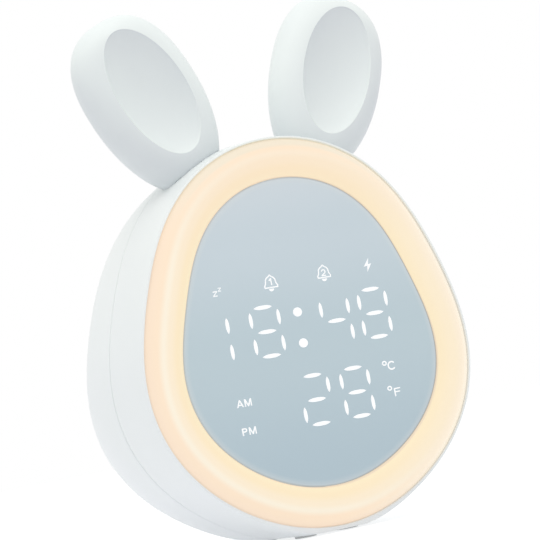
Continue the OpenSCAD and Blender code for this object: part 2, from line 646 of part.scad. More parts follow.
module main_board() stand() color("seagreen") difference() {
    block(-main_w, board_front, main_low, main_w, board_back, main_top);
    for (h = housing_at) bar(h.x, h.y, tube_r + 0.3, board_front - 1, board_back + 1);
    for (p = post_at) bar(p.x, p.y, screw_r + screw_gap, board_front - 1, board_back + 1);
}
module board_screws() stand() color("silver") for (p = post_at) translate([p.x, board_front, p.y])
    rotate([180, 0, 0]) translate([-p.x, 0, -p.y]) screw(p.x, p.y, -board_t - 4, 0);

module controller_chips() stand() color("darkslategray") {
    block(-4.5, board_front - 1.4, back_z - 6, 4.5, board_front, back_z + 2);
    block(-15, board_front - 1.2, back_z - 2, -9, board_front, back_z + 3);
    block(9, board_front - 2.2, back_z - 3, 13.5, board_front, back_z + 1.5);
    for (x = [-3, 0, 3]) block(x - 0.8, board_front - 1, back_z - 11, x + 0.8, board_front, back_z - 8.5);
}

switch_w = 5.6;
module key_switches() stand() color("dimgray") for (i = key_x) {
    block(i * key_pitch - switch_w / 2, board_back, key_z - switch_w / 2,
        i * key_pitch + switch_w / 2, board_back + switch_h, key_z + switch_w / 2);
    bar(i * key_pitch, key_z, 1.6, board_back + switch_h - eps, board_back + switch_h + plunger_h);
}

// A push key: stem, retaining flange and a softly domed cap.
module key(i) stand() color("white") translate([i * key_pitch, 0, key_z]) rotate([-90, 0, 0])
    rotate_extrude($fn = fine) key_profile();
key_foot = board_back + switch_h + plunger_h + key_travel + 0.1;
key_top = back_face + key_proud;
flange_y = back_inner - fit_gap;
key_round = 0.6;
module key_profile() {
    polygon(concat([[0, key_foot], [1.6, key_foot], [1.6, flange_y - key_flange_t],
        [key_r + key_flange, flange_y - key_flange_t], [key_r + key_flange, flange_y], [key_r, flange_y]],
        [for (a = [0 : 15 : 90]) [key_r - key_round * (1 - cos(a)), key_top - key_round * (1 - sin(a)) - 0.25]],
        [[key_r * 0.45, key_top - 0.06], [0, key_top]]));
}
module key_set() key(-2);
module key_up() key(-1);
module key_down() key(0);
module key_alarm() key(1);
module key_light() key(2);

socket_w = 9;
socket_h = 3.3;
socket_back = back_inner + 0.3;
module charging_socket() stand() color("silver") {
    difference() {
        stadium(socket_w, socket_h, board_back, socket_back, port_z);
        stadium(socket_w - 0.7, socket_h - 0.7, board_back + 1, socket_back + 1, port_z);
    }
    block(-3.3, board_back + 1 - eps, port_z - 0.35, 3.3, socket_back - 1, port_z + 0.35);
}
module temperature_sensor() stand() color("saddlebrown") {
    bar(sensor_at.x, sensor_at.y, 1.1, board_back + 2.4, board_back + 5);
    for (x = [-0.6, 0.6]) bar(sensor_at.x + x, sensor_at.y, 0.25, board_back, board_back + 2.4 + eps);
}

// ---- loudspeaker ----
speaker_face = back_inner - 1;
speaker_lip = 1.4;
cone_r = speaker_r - speaker_lip - 0.2;
roll_w = 1.8;            // width of the cone's soft edge
dome_r = 3.2;
basket_t = 3;
basket_floor = 0.6;
magnet_t = 3;
magnet_y = speaker_face - basket_t - magnet_t;
module speaker_frame() stand() color("dimgray") difference() {
    union() {
        bar(0, speaker_z, speaker_r, speaker_face - 1.2, speaker_face);
        bar(0, speaker_z, speaker_r - 2.3, speaker_face - basket_t, speaker_face - 1.2 + eps);
    }
    bar(0, speaker_z, speaker_r - speaker_lip, speaker_face - 0.6, speaker_face + 1);
    bar(0, speaker_z, cone_r - roll_w - 0.1, speaker_face - basket_t + basket_floor, speaker_face + 1);
}
module speaker_cone() stand() color("black") translate([0, speaker_face, speaker_z]) rotate([90, 0, 0])
    rotate_extrude($fn = fine) polygon([[0, 1.1], [dome_r, 1], [dome_r + 0.8, 1.35], [cone_r - roll_w, 0.15],
        [cone_r - roll_w / 2, -0.15], [cone_r, 0.1], [cone_r, 0.6], [cone_r - roll_w / 2, 0.25],
        [cone_r - roll_w, 0.5], [dome_r + 1.2, 1.7], [dome_r + 0.4, 1.7], [dome_r - 0.2, 1.4], [0, 1.5]]);
module speaker_magnet() stand() color("silver")
    bar(0, speaker_z, cone_r - 2.6, magnet_y, speaker_face - basket_t);
module speaker_clamp() stand() color("whitesmoke") difference() {
    bar(0, speaker_z, speaker_r, back_inner - collar_h, speaker_face - 1.2);
    bar(0, speaker_z, speaker_r - 2, back_inner - collar_h - 1, speaker_face);
}

// ---- wires ----
lead_r = 0.6;
lead_sides = 6;
// A tube of radius r along a list of points.
module lead(path, r) {
    n = len(path);
    dirs = [for (i = [0 : n - 1]) let (d = path[min(i + 1, n - 1)] - path[max(i - 1, 0)]) d / norm(d)];
    loops = [for (i = [0 : n - 1]) let (side = cross(dirs[i], [0.12, 0.35, 0.93]), u = side / norm(side),
            w = cross(dirs[i], u)) [for (j = [0 : lead_sides - 1]) let (a = angle_of(j, lead_sides))
            path[i] + r * (cos(a) * u + sin(a) * w)]];
    skin(path[0], loops, path[n - 1]);
}
// A rounded route through a few chosen points.
function route(p, n = 5) = [for (i = [0 : len(p) - 2], k = [0 : n - 1]) let (t = k / n,
        a = p[max(i - 1, 0)], b = p[i], c = p[i + 1], d = p[min(i + 2, len(p) - 1)])
    0.5 * ((2 * b) + (c - a) * t + (2 * a - 5 * b + 4 * c - d) * t * t + (3 * b - a - 3 * c + d) * t * t * t)];
function ended(p) = concat(route(p), [p[len(p) - 1]]);

cell_half = cell_l / 2;
module battery_leads() stand() color("firebrick") for (side = [-1, 1])
    lead(ended([[side * (cell_half + 1.8), cell_y, cell_z],
        [side * (cell_half + 3.5), cell_y + 6, cell_z + 4],
        [side * (cell_half + 1.5), board_front - 18.9, cell_z + 4],
        [side * main_w, board_front - 6.9, cell_z + 8],
        [side * 12, board_front - 1.2, main_low + 6]]), lead_r);
module speaker_leads() stand() color("black") for (side = [-1, 1])
    lead(ended([[side * 3, magnet_y - 0.7, speaker_z], [side * 5, magnet_y - 5, speaker_z - 5],
        [side * 8, board_front - 4.9, main_top + 1.5], [side * 12, board_front - 3, main_top - 0.8],
        [side * 17.5, board_front - 0.9, main_top - 2.5]]), lead_r);
module ring_leads() stand() color("firebrick") for (dx = [-1, 1])
    lead(ended([[lead_hole.x + dx, floor_y - board_t + 0.6, lead_hole.y],
        [lead_hole.x + dx, floor_back + 1, lead_hole.y],
        [lead_hole.x + dx, floor_back + 3, lead_hole.y + 0.5],
        [-cell_half - 4.5 + dx, floor_back + 9, cell_z + 4],
        [-cell_half - 5.5 + dx, floor_back + 19, cell_z + 14],
        [-main_w - 7 + dx, board_front - 16.9, cell_z + 22],
        [-main_w + 3 + dx, board_front - 5.9, main_low + 18],
        [-main_w + 9 + dx, board_front - 0.9, main_low + 18]]), lead_r);
cable_w = 9;
cable_t = 0.3;
cable_turns = [[floor_back + board_t, 2], [chassis_back + 5.4, 2], [chassis_back + 17.4, 6],
    [board_front - 14.9, 4], [board_front - 4.9, -6], [board_front - 1.5, -12]];
module display_cable() stand() color("gainsboro") for (i = [0 : len(cable_turns) - 2])
    let (a = cable_turns[i], b = cable_turns[i + 1], d = b - a, n = cable_t / 2 * [-d.y, d.x] / norm(d))
    translate([-cable_w / 2, 0, 0]) rotate([90, 0, 90]) linear_extrude(cable_w)
        polygon([a - n, b - n, b + n, a + n]);

front_shell();
rear_shell();
light_ring();
display_panel();
segment_reflector();
segment_diffusers();
display_board();
display_lamps();
ring_board();
ring_lamps_strip();
ear_left();
ear_right();
ear_stems();
ear_screws();
ear_washers();
display_screws();
chassis();
chassis_screws();
back_panel();
housing_screws();
main_board();
board_screws();
controller_chips();
key_switches();
charging_socket();
temperature_sensor();
speaker_frame();
speaker_cone();
speaker_magnet();
speaker_clamp();
battery_cell();
battery_strap();
strap_screws();
battery_leads();
speaker_leads();
ring_leads();
display_cable();
feet();
key_set();
key_up();
key_down();
key_alarm();
key_light();
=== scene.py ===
"""Rabbit-eared bedside clock with a ring night light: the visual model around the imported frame.

Sizes are millimetres in the clock's own frame: X to the right of someone looking at
the display, Y from the display backwards, Z up, with the display's centre at the origin.
`row()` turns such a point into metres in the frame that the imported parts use.
"""

import json
import logging
import math
from dataclasses import dataclass, field
from enum import Enum
from functools import cache
from typing import Callable, ClassVar, Sequence

import bmesh
import bpy
from bpy.types import ID, Material, Mesh, Node, NodeInputs, NodeOutputs, NodeSocket, NodeTree, Object
from mathutils import Matrix, Vector

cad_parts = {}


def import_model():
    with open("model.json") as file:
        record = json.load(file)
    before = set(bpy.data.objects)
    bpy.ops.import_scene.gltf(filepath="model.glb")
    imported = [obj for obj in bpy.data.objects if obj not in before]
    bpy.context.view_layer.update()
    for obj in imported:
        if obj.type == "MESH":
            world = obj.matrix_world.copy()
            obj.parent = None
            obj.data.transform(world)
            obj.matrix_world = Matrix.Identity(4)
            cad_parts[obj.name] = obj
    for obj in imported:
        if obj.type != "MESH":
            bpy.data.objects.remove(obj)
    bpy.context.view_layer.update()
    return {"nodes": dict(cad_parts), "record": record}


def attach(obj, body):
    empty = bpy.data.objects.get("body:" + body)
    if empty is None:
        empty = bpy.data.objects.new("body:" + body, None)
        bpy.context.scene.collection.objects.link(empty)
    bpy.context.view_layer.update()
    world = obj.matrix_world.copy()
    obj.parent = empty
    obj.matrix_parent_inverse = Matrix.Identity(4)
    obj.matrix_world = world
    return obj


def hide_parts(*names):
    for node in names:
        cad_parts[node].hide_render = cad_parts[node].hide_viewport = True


LOG = logging.getLogger("rabbit_clock")
BODY = "housing"
MM = 0.001
REST_HEIGHT = 67.6
DEPTH_SHIFT = -41.2
TAU = 2 * math.pi

Point = tuple[float, float, float]
Flat = tuple[float, float]
Colour = tuple[float, float, float]
Loop = list[Point]


def row(p: Sequence[float]) -> Vector:
    """Returns a point of the clock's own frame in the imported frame, in metres."""
    return Vector((p[0], p[1] + DEPTH_SHIFT, p[2] + REST_HEIGHT)) * MM


def srgb(red: int, green: int, blue: int) -> Colour:
    """Turns a screen colour into a linear one.

    Args:
        red: red, from 0 to 255.
        green: green, the same way.
        blue: blue, the same way.

    Returns:
        The linear colour.
    """
    def channel(value: int) -> float:
        """Returns one channel, linear."""
        c = value / 255
        return c / 12.92 if c <= 0.04045 else ((c + 0.055) / 1.055) ** 2.4
    return (channel(red), channel(green), channel(blue))


# ---------------------------------------------------------------- forms


@dataclass(frozen=True)
class Outline:
    """The soft triangle that the display, the ring and the body share."""

    pinch: float = 2.75
    taper: float = 1.97
    cheek: float = 0.53

    def radius(self, mean: float, a: float) -> float:
        """Returns the distance from the centre.

        Args:
            mean: mean radius.
            a: angle from straight up, in radians.

        Returns:
            The distance.
        """
        return (mean + self.pinch * math.cos(2 * a) + self.taper * math.cos(3 * a)
                - self.cheek * math.cos(5 * a))

    def point(self, mean: float, a: float, y: float = 0.0) -> Point:
        """Returns the outline's point at angle a and depth y."""
        r = self.radius(mean, a)
        return (r * math.sin(a), y, r * math.cos(a))

    def flat(self, mean: float, count: int) -> list[Flat]:
        """Returns the whole outline as count points across and up."""
        return [self.point(mean, TAU * i / count)[::2] for i in range(count)]


@dataclass(frozen=True)
class BodyForm:
    """The body's outer skin: the outline lofted backwards, sagging and closing at the back."""

    outline: Outline = Outline()
    mean_radius: float = 65.6
    lip_radius: float = 64.9
    lip_y: float = 1.1
    swell_y: float = 18.5
    depth: float = 84.0
    close_y: float = 89.0
    roundness: float = 3.03
    sag: float = 5.4
    sag_from: float = 20.0
    fullness: float = 1.2
    full_half: float = 23.0
    base: float = 66.8

    def mean(self, y: float) -> float:
        """Finds the mean radius of a section.

        Args:
            y: the section's depth.

        Returns:
            The radius, which swells from the front and closes at the back.
        """
        if y < self.swell_y:
            fall = (self.swell_y - y) / (self.swell_y - self.lip_y)
            return self.mean_radius - (self.mean_radius - self.lip_radius) * fall ** 3
        reach = (y - self.swell_y) / (self.close_y - self.swell_y)
        return self.mean_radius * (1 - reach ** self.roundness) ** (1 / self.roundness)

    def axis(self, y: float) -> float:
        """Returns the height of the section's centre at depth y."""
        return -self.sag * (max(0.0, y - self.sag_from) / (self.depth - self.sag_from)) ** 1.5

    def bulge(self, a: float) -> float:
        """Returns the extra fullness near the underside at angle a."""
        turned = math.degrees(a) % 360
        return self.fullness / (1 + ((turned - 180) / self.full_half) ** 4)

    def radius(self, a: float, y: float) -> float:
        """Returns the skin's distance from the section's centre."""
        return self.mean(y) / self.mean_radius * (self.outline.radius(self.mean_radius, a) + self.bulge(a))

    def point(self, a: float, y: float) -> Point:
        """Returns a point of the outer skin."""
        r = self.radius(a, y)
        return (r * math.sin(a), y, max(-self.base, self.axis(y) + r * math.cos(a)))

    def inner(self, a: float, y: float, wall: float) -> Point:
        """Finds a point of the inner wall.

        Args:
            a: angle from straight up.
            y: depth of the skin outside it.
            wall: thickness, square to the skin.

        Returns:
            The point.
        """
        slope = (self.mean(y + 0.1) - self.mean(y - 0.1)) / 0.2
        length = math.hypot(1, slope)
        r = (self.mean(y) - wall / length) / self.mean_radius * self.outline.radius(self.mean_radius, a)
        height = max(wall - self.base, self.axis(y) + r * math.cos(a))
        return (r * math.sin(a), y + wall * slope / length, height)

    def back(self, a: float, mean: float, y: float) -> Point:
        """Finds a point of the opening in the back.

        Args:
            a: angle from straight up.
            mean: mean radius.
            y: depth.

        Returns:
            The point.
        """
        r = mean / self.mean_radius * self.outline.radius(self.mean_radius, a)
        return (r * math.sin(a), y, self.axis(self.depth) + r * math.cos(a))

    def holds(self, p: Sequence[float], gap: float) -> bool:
        """Returns whether a point lies in the body, or within gap of its skin."""
        h = p[2] - self.axis(p[1])
        return math.hypot(p[0], h) < self.radius(math.atan2(p[0], h), p[1]) + gap


# ---------------------------------------------------------------- meshes


def linked(name: str, data: ID) -> Object:
    """Puts a new object in the scene.

    Args:
        name: the object's name.
        data: its mesh, lamp or camera.

    Returns:
        The object.
    """
    thing = bpy.data.objects.new(name, data)
    bpy.context.scene.collection.objects.link(thing)
    return thing


def dressed_mesh(name: str, mesh: Mesh, sharp_deg: float = 40.0) -> Object:
    """Welds a mesh, points its faces outwards and shades it smooth.

    Args:
        name: the piece's name.
        mesh: the mesh, already in its place.
        sharp_deg: edges that turn more than this stay crisp.

    Returns:
        The linked object.
    """
    work = bmesh.new()
    work.from_mesh(mesh)
    bmesh.ops.remove_doubles(work, verts=work.verts, dist=1e-7)
    bmesh.ops.dissolve_degenerate(work, edges=work.edges, dist=1e-8)
    bmesh.ops.recalc_face_normals(work, faces=work.faces)
    work.to_mesh(mesh)
    work.free()
    mesh.name = name
    mesh.polygons.foreach_set("use_smooth", [True] * len(mesh.polygons))
    mesh.set_sharp_from_angle(angle=math.radians(sharp_deg))
    mesh.update()
    return linked(name, mesh)


def loose_part(name: str, verts: Sequence[Point], faces: Sequence[Sequence[int]]) -> Object:
    """Makes a part about the world's origin, for a pattern to repeat.

    Args:
        name: the part's name.
        verts: its points, in millimetres.
        faces: polygons as vertex numbers.

    Returns:
        The linked object.
    """
    mesh = bpy.data.meshes.new(name)
    mesh.from_pydata([(x * MM, y * MM, z * MM) for x, y, z in verts], [], [tuple(f) for f in faces])
    work = bmesh.new()
    work.from_mesh(mesh)
    bmesh.ops.remove_doubles(work, verts=work.verts, dist=1e-8)
    bmesh.ops.recalc_face_normals(work, faces=work.faces)
    work.to_mesh(mesh)
    work.free()
    return linked(name, mesh)


class Surface:
    """Collects points, in the clock's own frame, and faces of one piece."""

    def __init__(self) -> None:
        """Starts an empty surface."""
        self.verts: list[Point] = []
        self.faces: list[tuple[int, ...]] = []

    def loft(self, loops: Sequence[Loop], closed: bool = False, start: bool = False,
             end: bool = False) -> "Surface":
        """Joins loops of equal length.

        Args:
            loops: the loops in order, each one closed on itself.
            closed: whether the last loop joins the first.
            start: whether the first loop is filled.
            end: whether the last loop is filled.

        Returns:
            The surface itself.
        """
        base = len(self.verts)
        n, m = len(loops[0]), len(loops)
        for loop in loops:
            self.verts.extend(loop)
        for i in range(m if closed else m - 1):
            for j in range(n):
                a, b = base + i * n, base + (i + 1) % m * n
                k = (j + 1) % n
                self.faces.append((a + j, a + k, b + k, b + j))
        if start:
            self.faces.append(tuple(base + j for j in range(n)))
        if end:
            self.faces.append(tuple(base + (m - 1) * n + j for j in reversed(range(n))))
        return self

    def pole(self, loop_start: int, count: int, tip: Point) -> "Surface":
        """Closes a loop with a fan.

        Args:
            loop_start: number of the loop's first vertex.
            count: vertices in the loop.
            tip: the fan's middle.

        Returns:
            The surface itself.
        """
        self.verts.append(tip)
        last = len(self.verts) - 1
        self.faces.extend((loop_start + j, loop_start + (j + 1) % count, last) for j in range(count))
        return self

    def turned(self, profile: Sequence[Flat], centre: Flat, count: int = 64, upright: bool = False,
               closed: bool = False) -> "Surface":
        """Turns a profile round an axis.

        Args:
            profile: radius and place along the axis, from end to end.
            centre: where the axis is: X and Z, or X and Y if upright.
            count: facets round the axis.
            upright: whether the axis is vertical instead of along the depth.
            closed: whether the profile is a closed loop, as on a tube.

        Returns:
            The surface itself.
        """
        loops = []
        angles = [TAU * j / count for j in range(count)]
        for r, along in profile:
            round_axis = [(centre[0] + r * math.sin(t), centre[1] + r * math.cos(t)) for t in angles]
            loops.append([(a, b, along) if upright else (a, along, b) for a, b in round_axis])
        return self.loft(loops, closed=closed, start=not closed, end=not closed)

    def piece(self, name: str, sharp_deg: float = 40.0) -> Object:
        """Makes the smooth-shaded object, with its place in its mesh.

        Args:
            name: the piece's name.
            sharp_deg: edges that turn more than this stay crisp.

        Returns:
            The linked object, with outward normals.
        """
        mesh = bpy.data.meshes.new(name)
        mesh.from_pydata([row(v) for v in self.verts], [], self.faces)
        return dressed_mesh(name, mesh, sharp_deg)


def rounded(profile: Sequence[Flat], radii: Sequence[float], steps: int = 5) -> list[Flat]:
    """Rounds the corners of an open profile.

    Args:
        profile: corner points.
        radii: one radius for each inner corner, 0 for a sharp one.
        steps: points on each rounded corner.

    Returns:
        The profile with its corners replaced by arcs.
    """
    out: list[Flat] = [profile[0]]
    for before, corner, after, r in zip(profile, profile[1:], profile[2:], radii):
        if r <= 0:
            out.append(corner)
            continue
        to_before = Vector(before) - Vector(corner)
        to_after = Vector(after) - Vector(corner)
        start = Vector(corner) + to_before.normalized() * min(r, to_before.length * 0.5)
        end = Vector(corner) + to_after.normalized() * min(r, to_after.length * 0.5)
        for k in range(steps + 1):
            t = k / steps
            p = start * (1 - t) ** 2 + Vector(corner) * 2 * t * (1 - t) + end * t * t
            out.append((p.x, p.y))
    out.append(profile[-1])
    return out


def ellipse(x: float, z: float, rx: float, rz: float, count: int = 40) -> list[Flat]:
    """Returns an ellipse's points."""
    return [(x + rx * math.cos(TAU * i / count), z + rz * math.sin(TAU * i / count)) for i in range(count)]


def circle(x: float, z: float, r: float, count: int = 40) -> list[Flat]:
    """Returns a circle's points."""
    return ellipse(x, z, r, r, count)


def arc(centre: Flat, radii: Flat, start: float, end: float, count: int = 16) -> list[Flat]:
    """Returns points on an elliptical arc.

    Args:
        centre: centre of the arc.
        radii: radius across and up.
        start: first angle in degrees, from the right, turning upwards.
        end: last angle in degrees.
        count: number of points.

    Returns:
        The points, both ends among them.
    """
    turns = (math.radians(start + (end - start) * i / (count - 1)) for i in range(count))
    return [(centre[0] + radii[0] * math.cos(t), centre[1] + radii[1] * math.sin(t)) for t in turns]


Loops = list[list[Flat]]


@dataclass(frozen=True)
class Glyph:
    """A letter's or figure's box, w wide and h high, and what strokes s wide draw in it."""

    w: float
    h: float
    s: float

    def capital_a(self) -> Loops:
        """Draws a capital A.

        Returns:
            Its outlines.
        """
        w, h, s = self.w, self.h, self.s
        lean = (w - s) / 2 / h
        low, high = 0.22 * h, 0.22 * h + 0.85 * s
        in_low, in_high = s + lean * low, s + lean * high
        outer = [(0, 0), ((w - s) / 2, h), ((w + s) / 2, h), (w, 0), (w - s, 0), (w - in_low, low),
                 (in_low, low), (s, 0)]
        return [outer, [(in_high, high), (w - in_high, high), (w / 2, (w / 2 - s) / lean)]]

    def capital_m(self) -> Loops:
        """Draws a capital M.

        Returns:
            Its outline.
        """
        w, h, s = self.w, self.h, self.s
        notch = 0.28 * h
        rise = (w / 2 - 1.45 * s) * (h - notch) / (w / 2 - 1.25 * s)
        left = [(0, 0), (0, h), (1.25 * s, h), (w / 2, notch)]
        inner = [(w / 2 - 0.45 * s, 0), (s, rise), (s, 0)]
        right = [(w - x, z) for x, z in (*reversed(left[:-1]), *reversed(inner))]
        return [left + right + inner]

    def capital_p(self) -> Loops:
        """Draws a capital P.

        Returns:
            Its outlines.
        """
        w, h, s = self.w, self.h, self.s
        r, thin = 0.29 * h, 0.85 * s
        outer = arc((w - r, h - r), (r, r), 90, -90)
        hole = arc((w - r, h - r), (r - s, r - thin), 90, -90)
        return [[(0, 0), (0, h), *outer, (s, h - 2 * r), (s, 0)],
                [(s, h - thin), *hole, (s, h - 2 * r + thin)]]

    def capital_c(self) -> Loops:
        """Draws a capital C.

        Returns:
            Its outline.
        """
        half_w, half_h = self.w / 2, self.h / 2
        outer = arc((half_w, half_h), (half_w, half_h), 38, 322, 32)
        inner = arc((half_w, half_h), (half_w - self.s, half_h - 0.95 * self.s), 322, 38, 32)
        return [outer + inner]

    def capital_f(self) -> Loops:
        """Draws a capital F.

        Returns:
            Its outline.
        """
        w, h, s = self.w, self.h, self.s
        thin, middle, bar = 0.85 * s, 0.61 * h, 0.92 * w
        return [[(0, 0), (0, h), (w, h), (w, h - thin), (s, h - thin), (s, middle), (bar, middle),
                 (bar, middle - thin), (s, middle - thin), (s, 0)]]

    def figure_one(self) -> Loops:
        """Draws a figure 1."""
        w, h, s = self.w, self.h, self.s
        return [[(w - s, 0), (w - s, 0.68 * h), (0, 0.6 * h), (0, 0.76 * h), (w - s, h), (w, h), (w, 0)]]

    def figure_two(self) -> Loops:
        """Draws a figure 2.

        Returns:
            Its outline.
        """
        w, h, s = self.w, self.h, self.s
        centre = (w / 2, h - w / 2)
        outer = arc(centre, (w / 2, w / 2), 168, -35)
        inner = arc(centre, (w / 2 - s, w / 2 - s), -35, 168)
        return [[*outer, (1.5 * s, 0.9 * s), (w, 0.9 * s), (w, 0), (0, 0), (0, 0.86 * s), *inner]]


Draw = Callable[[Glyph], Loops]


def stadium(x: float, z: float, width: float, height: float, count: int = 48) -> list[Flat]:
    """Draws a slot with round ends.

    Args:
        x: place across.
        z: place up.
        width: its width.
        height: its height, and the diameter of its ends.
        count: number of points.

    Returns:
        The points.
    """
    half = (width - height) / 2
    out = []
    for i in range(count):
        t = TAU * i / count
        end = x + math.copysign(half, math.cos(t))
        out.append((end + height / 2 * math.cos(t), z + height / 2 * math.sin(t)))
    return out


def cut_sheet(name: str, loops: Sequence[Sequence[Flat]], y0: float, y1: float, edge: float) -> Mesh:
    """Makes a sheet with holes and rounded edges, facing along the depth.

    Args:
        name: the mesh's name.
        loops: outline first, then the holes, as points across and up.
        y0: depth of the front face.
        y1: depth of the back face.
        edge: radius of the rounded edges.

    Returns:
        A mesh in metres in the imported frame.
    """
    curve = bpy.data.curves.new(name, "CURVE")
    curve.dimensions = "2D"
    curve.fill_mode = "BOTH"
    curve.extrude = max((y1 - y0) / 2 - edge, 0.0) * MM
    curve.bevel_depth = edge * MM
    curve.bevel_resolution = 2
    curve.offset = -edge * MM
    for loop in loops:
        spline = curve.splines.new("POLY")
        spline.points.add(len(loop) - 1)
        for p, (x, z) in zip(spline.points, loop):
            p.co = (x * MM, z * MM, 0, 1)
        spline.use_cyclic_u = True
    mesh = baked(linked(name, curve))
    centre = row((0, (y0 + y1) / 2, 0))
    mesh.transform(Matrix.Translation(centre) @ Matrix.Rotation(math.radians(90), 4, "X"))
    return mesh


def baked(holder: Object) -> Mesh:
    """Turns an object into a plain mesh.

    Args:
        holder: the object; it is removed afterwards.

    Returns:
        Its evaluated mesh.
    """
    bpy.context.view_layer.update()
    graph = bpy.context.evaluated_depsgraph_get()
    mesh = bpy.data.meshes.new_from_object(holder.evaluated_get(graph))
    bpy.data.objects.remove(holder)
    return mesh


def joined(name: str, meshes: Sequence[Mesh], sharp_deg: float = 40.0) -> Object:
    """Joins meshes that are already in place.

    Args:
        name: the piece's name.
        meshes: the meshes; they are removed afterwards.
        sharp_deg: edges that turn more than this stay crisp.

    Returns:
        The linked object.
    """
    work = bmesh.new()
    for mesh in meshes:
        work.from_mesh(mesh)
        bpy.data.meshes.remove(mesh)
    whole = bpy.data.meshes.new(name)
    work.to_mesh(whole)
    work.free()
    return dressed_mesh(name, whole, sharp_deg)


def mesh_of(piece: Object) -> Mesh:
    """Takes the mesh out of a piece, so that it can be joined to others.

    Args:
        piece: the object, which is removed.

    Returns:
        The mesh.
    """
    mesh = piece.data
    bpy.data.objects.remove(piece)
    return mesh


# ---------------------------------------------------------------- node trees


class Tree:
    """Builds a node tree with short calls."""

    def __init__(self, tree: NodeTree) -> None:
        """Takes the tree to fill."""
        self.tree = tree
        self.count = 0

    def add(self, kind: str, inputs: dict[str | int, object] | None = None, **settings: object) -> Node:
        """Adds a node.

        Args:
            kind: the node's type.
            inputs: input name or number to a value or an output socket; a colour may lack its alpha.
            **settings: attributes of the node.

        Returns:
            The node.
        """
        node = self.tree.nodes.new(kind)
        node.location = (220 * (self.count % 8), -260 * (self.count // 8))
        self.count += 1
        for key, value in settings.items():
            setattr(node, key, value)
        for key, value in (inputs or {}).items():
            socket = node.inputs[key]
            if isinstance(value, NodeSocket):
                self.tree.links.new(value, socket)
            elif isinstance(value, tuple) and len(value) == 3 and socket.type == "RGBA":
                socket.default_value = (*value, 1.0)
            else:
                socket.default_value = value
        return node

    def link(self, source: NodeSocket, target: NodeSocket) -> None:
        """Links two sockets."""
        self.tree.links.new(source, target)

    def math(self, operation: str, a: object, b: object = 0.0, c: object = 0.0) -> NodeSocket:
        """Returns the result of a math node."""
        return self.add("ShaderNodeMath", {0: a, 1: b, 2: c}, operation=operation).outputs[0]

    def place(self) -> NodeSocket:
        """Returns the place in the object."""
        return self.add("ShaderNodeTexCoord").outputs["Object"]

    def ways(self, vector: NodeSocket) -> NodeOutputs:
        """Returns a vector's X, Y and Z."""
        return self.add("ShaderNodeSeparateXYZ", {0: vector}).outputs

    def named(self, attribute: str) -> NodeSocket:
        """Returns the value of a mesh attribute."""
        return self.add("ShaderNodeAttribute", attribute_name=attribute).outputs["Fac"]

    def noise(self, place: NodeSocket, scale: object, **more: object) -> NodeSocket:
        """Returns the value of a noise texture; `more` are its other inputs."""
        return self.add("ShaderNodeTexNoise", {"Vector": place, "Scale": scale, **more}).outputs["Fac"]

    def spread(self, value: NodeSocket, low: float, high: float, to_low: float = 0.0,
               to_high: float = 1.0, curve: str = "LINEAR") -> NodeSocket:
        """Carries a value from one range to another and holds it at the ends.

        Args:
            value: the value.
            low: start of its range.
            high: end of its range.
            to_low: result at the start.
            to_high: result at the end.
            curve: the node's interpolation.

        Returns:
            The result.
        """
        ends = {"Value": value, "From Min": low, "From Max": high, "To Min": to_low, "To Max": to_high}
        return self.add("ShaderNodeMapRange", ends, interpolation_type=curve).outputs["Result"]

    def mixed(self, share: object, first: object, second: object, blend: str = "MIX") -> NodeSocket:
        """Blends two colours.

        Args:
            share: how much of the second.
            first: the first colour.
            second: the second colour.
            blend: the node's blend type.

        Returns:
            The blended colour.
        """
        inputs = {"Factor": share, "A": first, "B": second}
        return self.add("ShaderNodeMix", inputs, data_type="RGBA", blend_type=blend).outputs[2]

    def ramp(self, value: NodeSocket, stops: "Stops") -> NodeSocket:
        """Runs a value through a smooth colour ramp.

        Args:
            value: the value, from 0 to 1.
            stops: position and colour of each stop.

        Returns:
            The colour.
        """
        node = self.add("ShaderNodeValToRGB", {"Fac": value})
        node.color_ramp.interpolation = "EASE"
        points = node.color_ramp.elements
        while len(points) < len(stops):
            points.new(0.5)
        for element, (at, colour) in zip(points, stops):
            element.position = at
            element.color = (*colour, 1.0)
        return node.outputs["Color"]

    def group(self, group: NodeTree, **inputs: object) -> NodeOutputs:
        """Places a shared group; its inputs are written with _ for a space."""
        named = {key.replace("_", " "): value for key, value in inputs.items()}
        return self.add("ShaderNodeGroup", named, node_tree=group).outputs

    def bump(self, shader: Node, height: NodeSocket, strength: float, distance: float) -> None:
        """Raises a shader's surface.

        Args:
            shader: the shader.
            height: the height, from 0 to 1.
            strength: strength of the effect.
            distance: height of 1, in metres.
        """
        node = self.add("ShaderNodeBump", {"Strength": strength, "Distance": distance, "Height": height})
        self.link(node.outputs["Normal"], shader.inputs["Normal"])

    def seen(self) -> NodeSocket:
        """Returns 1 on the rays that show in the picture, and 0 on those that only light."""
        path = self.add("ShaderNodeLightPath").outputs
        shown = self.math("MAXIMUM", path["Is Camera Ray"], path["Is Glossy Ray"])
        return self.math("MAXIMUM", shown, path["Is Transmission Ray"])


def new_group(name: str, kind: str, inputs: Sequence[tuple],
              outputs: Sequence[tuple]) -> tuple[Tree, NodeOutputs, NodeInputs]:
    """Starts a node group.

    Args:
        name: the group's name.
        kind: ShaderNodeTree or GeometryNodeTree.
        inputs: name, socket type and default of each input.
        outputs: name and socket type of each output.

    Returns:
        The tree builder, what comes into the group and what goes out of it.
    """
    group = bpy.data.node_groups.new(name, kind)
    for label, socket_type, default in inputs:
        socket = group.interface.new_socket(name=label, in_out="INPUT", socket_type=socket_type)
        if default is not None:
            socket.default_value = default
    for label, socket_type in outputs:
        group.interface.new_socket(name=label, in_out="OUTPUT", socket_type=socket_type)
    tree = Tree(group)
    return tree, tree.add("NodeGroupInput").outputs, tree.add("NodeGroupOutput").inputs


